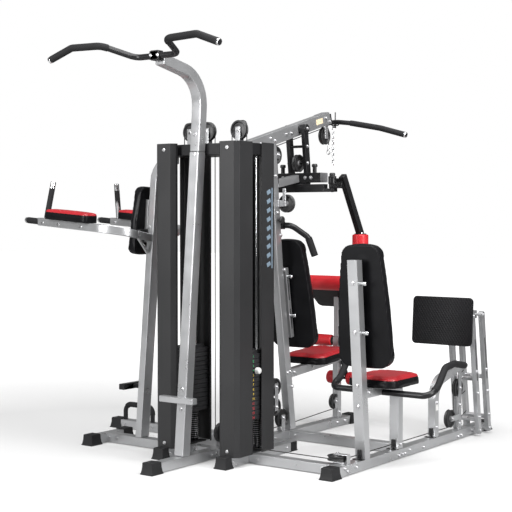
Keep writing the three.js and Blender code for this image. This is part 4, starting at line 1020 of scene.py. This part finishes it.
# The camera sees a white floor with soft shadows round the feet; the object sees a dimmer one.
pn, pl = pale.node_tree.nodes, pale.node_tree.links.new
seen = pn.new("ShaderNodeLightPath").outputs["Is Camera Ray"]
spot = pn.new("ShaderNodeVectorMath")
spot.operation = "LENGTH"
pl(pn.new("ShaderNodeTexCoord").outputs["Object"], spot.inputs[0])
glow = pn.new("ShaderNodeMapRange")  # brighter away from the object, where less lamp light falls
for socket, value in (("From Min", 2.2), ("From Max", 6.0), ("To Min", 0.2), ("To Max", 1.1)):
    glow.inputs[socket].default_value = value
pl(spot.outputs["Value"], glow.inputs["Value"])
for socket, dim in (("Base Color", 0.42), ("Emission Strength", 0.0)):
    mix = pn.new("ShaderNodeMapRange")
    mix.inputs["To Min"].default_value = dim
    mix.inputs["To Max"].default_value = 0.5
    pl(seen, mix.inputs["Value"])
    if not dim:
        pl(glow.outputs["Result"], mix.inputs["To Max"])
    pl(mix.outputs["Result"], paint.inputs[socket])
floor.materials.append(pale)
ground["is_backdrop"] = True

# The backdrop is white, but lights the object only softly.
world = bpy.data.worlds.new("studio")
world.use_nodes = True
wn, wl = world.node_tree.nodes, world.node_tree.links.new
sky = wn["Background"]
sky.inputs["Color"].default_value = (1, 1, 1, 1)
ray = wn.new("ShaderNodeLightPath")
amount = wn.new("ShaderNodeMapRange")
amount.inputs["To Min"].default_value = 0.19
amount.inputs["To Max"].default_value = 1.0
wl(ray.outputs["Is Camera Ray"], amount.inputs["Value"])
wl(amount.outputs["Result"], sky.inputs["Strength"])
scene.world = world


def softbox(name, place, aim, size, power):
    """A rectangular lamp; place, aim and size are in metres in the row frame."""
    lamp = bpy.data.lights.new(name, "AREA")
    lamp.shape = "RECTANGLE"
    lamp.size, lamp.size_y = size
    lamp.energy = power
    o = bpy.data.objects.new(name, lamp)
    o.location = place
    o.rotation_euler = (Vector(aim) - Vector(place)).to_track_quat("-Z", "Y").to_euler()
    o.visible_camera = False
    scene.collection.objects.link(o)


softbox("overhead", (1.5, 0.2, 5.0), (0.2, 0.9, 0.5), (5, 5), 420)
softbox("left_front", (-1.2, -4.6, 2.6), (0.2, 0.5, 1), (1.6, 3.0), 290)
softbox("right_side", (6.0, 0.2, 2.6), (0.3, 0.9, 0.9), (1.4, 3.5), 250)

camera = bpy.data.cameras.new("camera")
camera.sensor_width, camera.lens = 36, 84.375
camera.clip_end = 100
eye = bpy.data.objects.new("camera", camera)
eye.location = at(4005, -4539, 1305)
eye.rotation_euler = (math.radians(90 - 1.85), 0, math.radians(36.2))
scene.collection.objects.link(eye)
scene.camera = eye
scene.view_settings.view_transform = "Standard"

low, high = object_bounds()
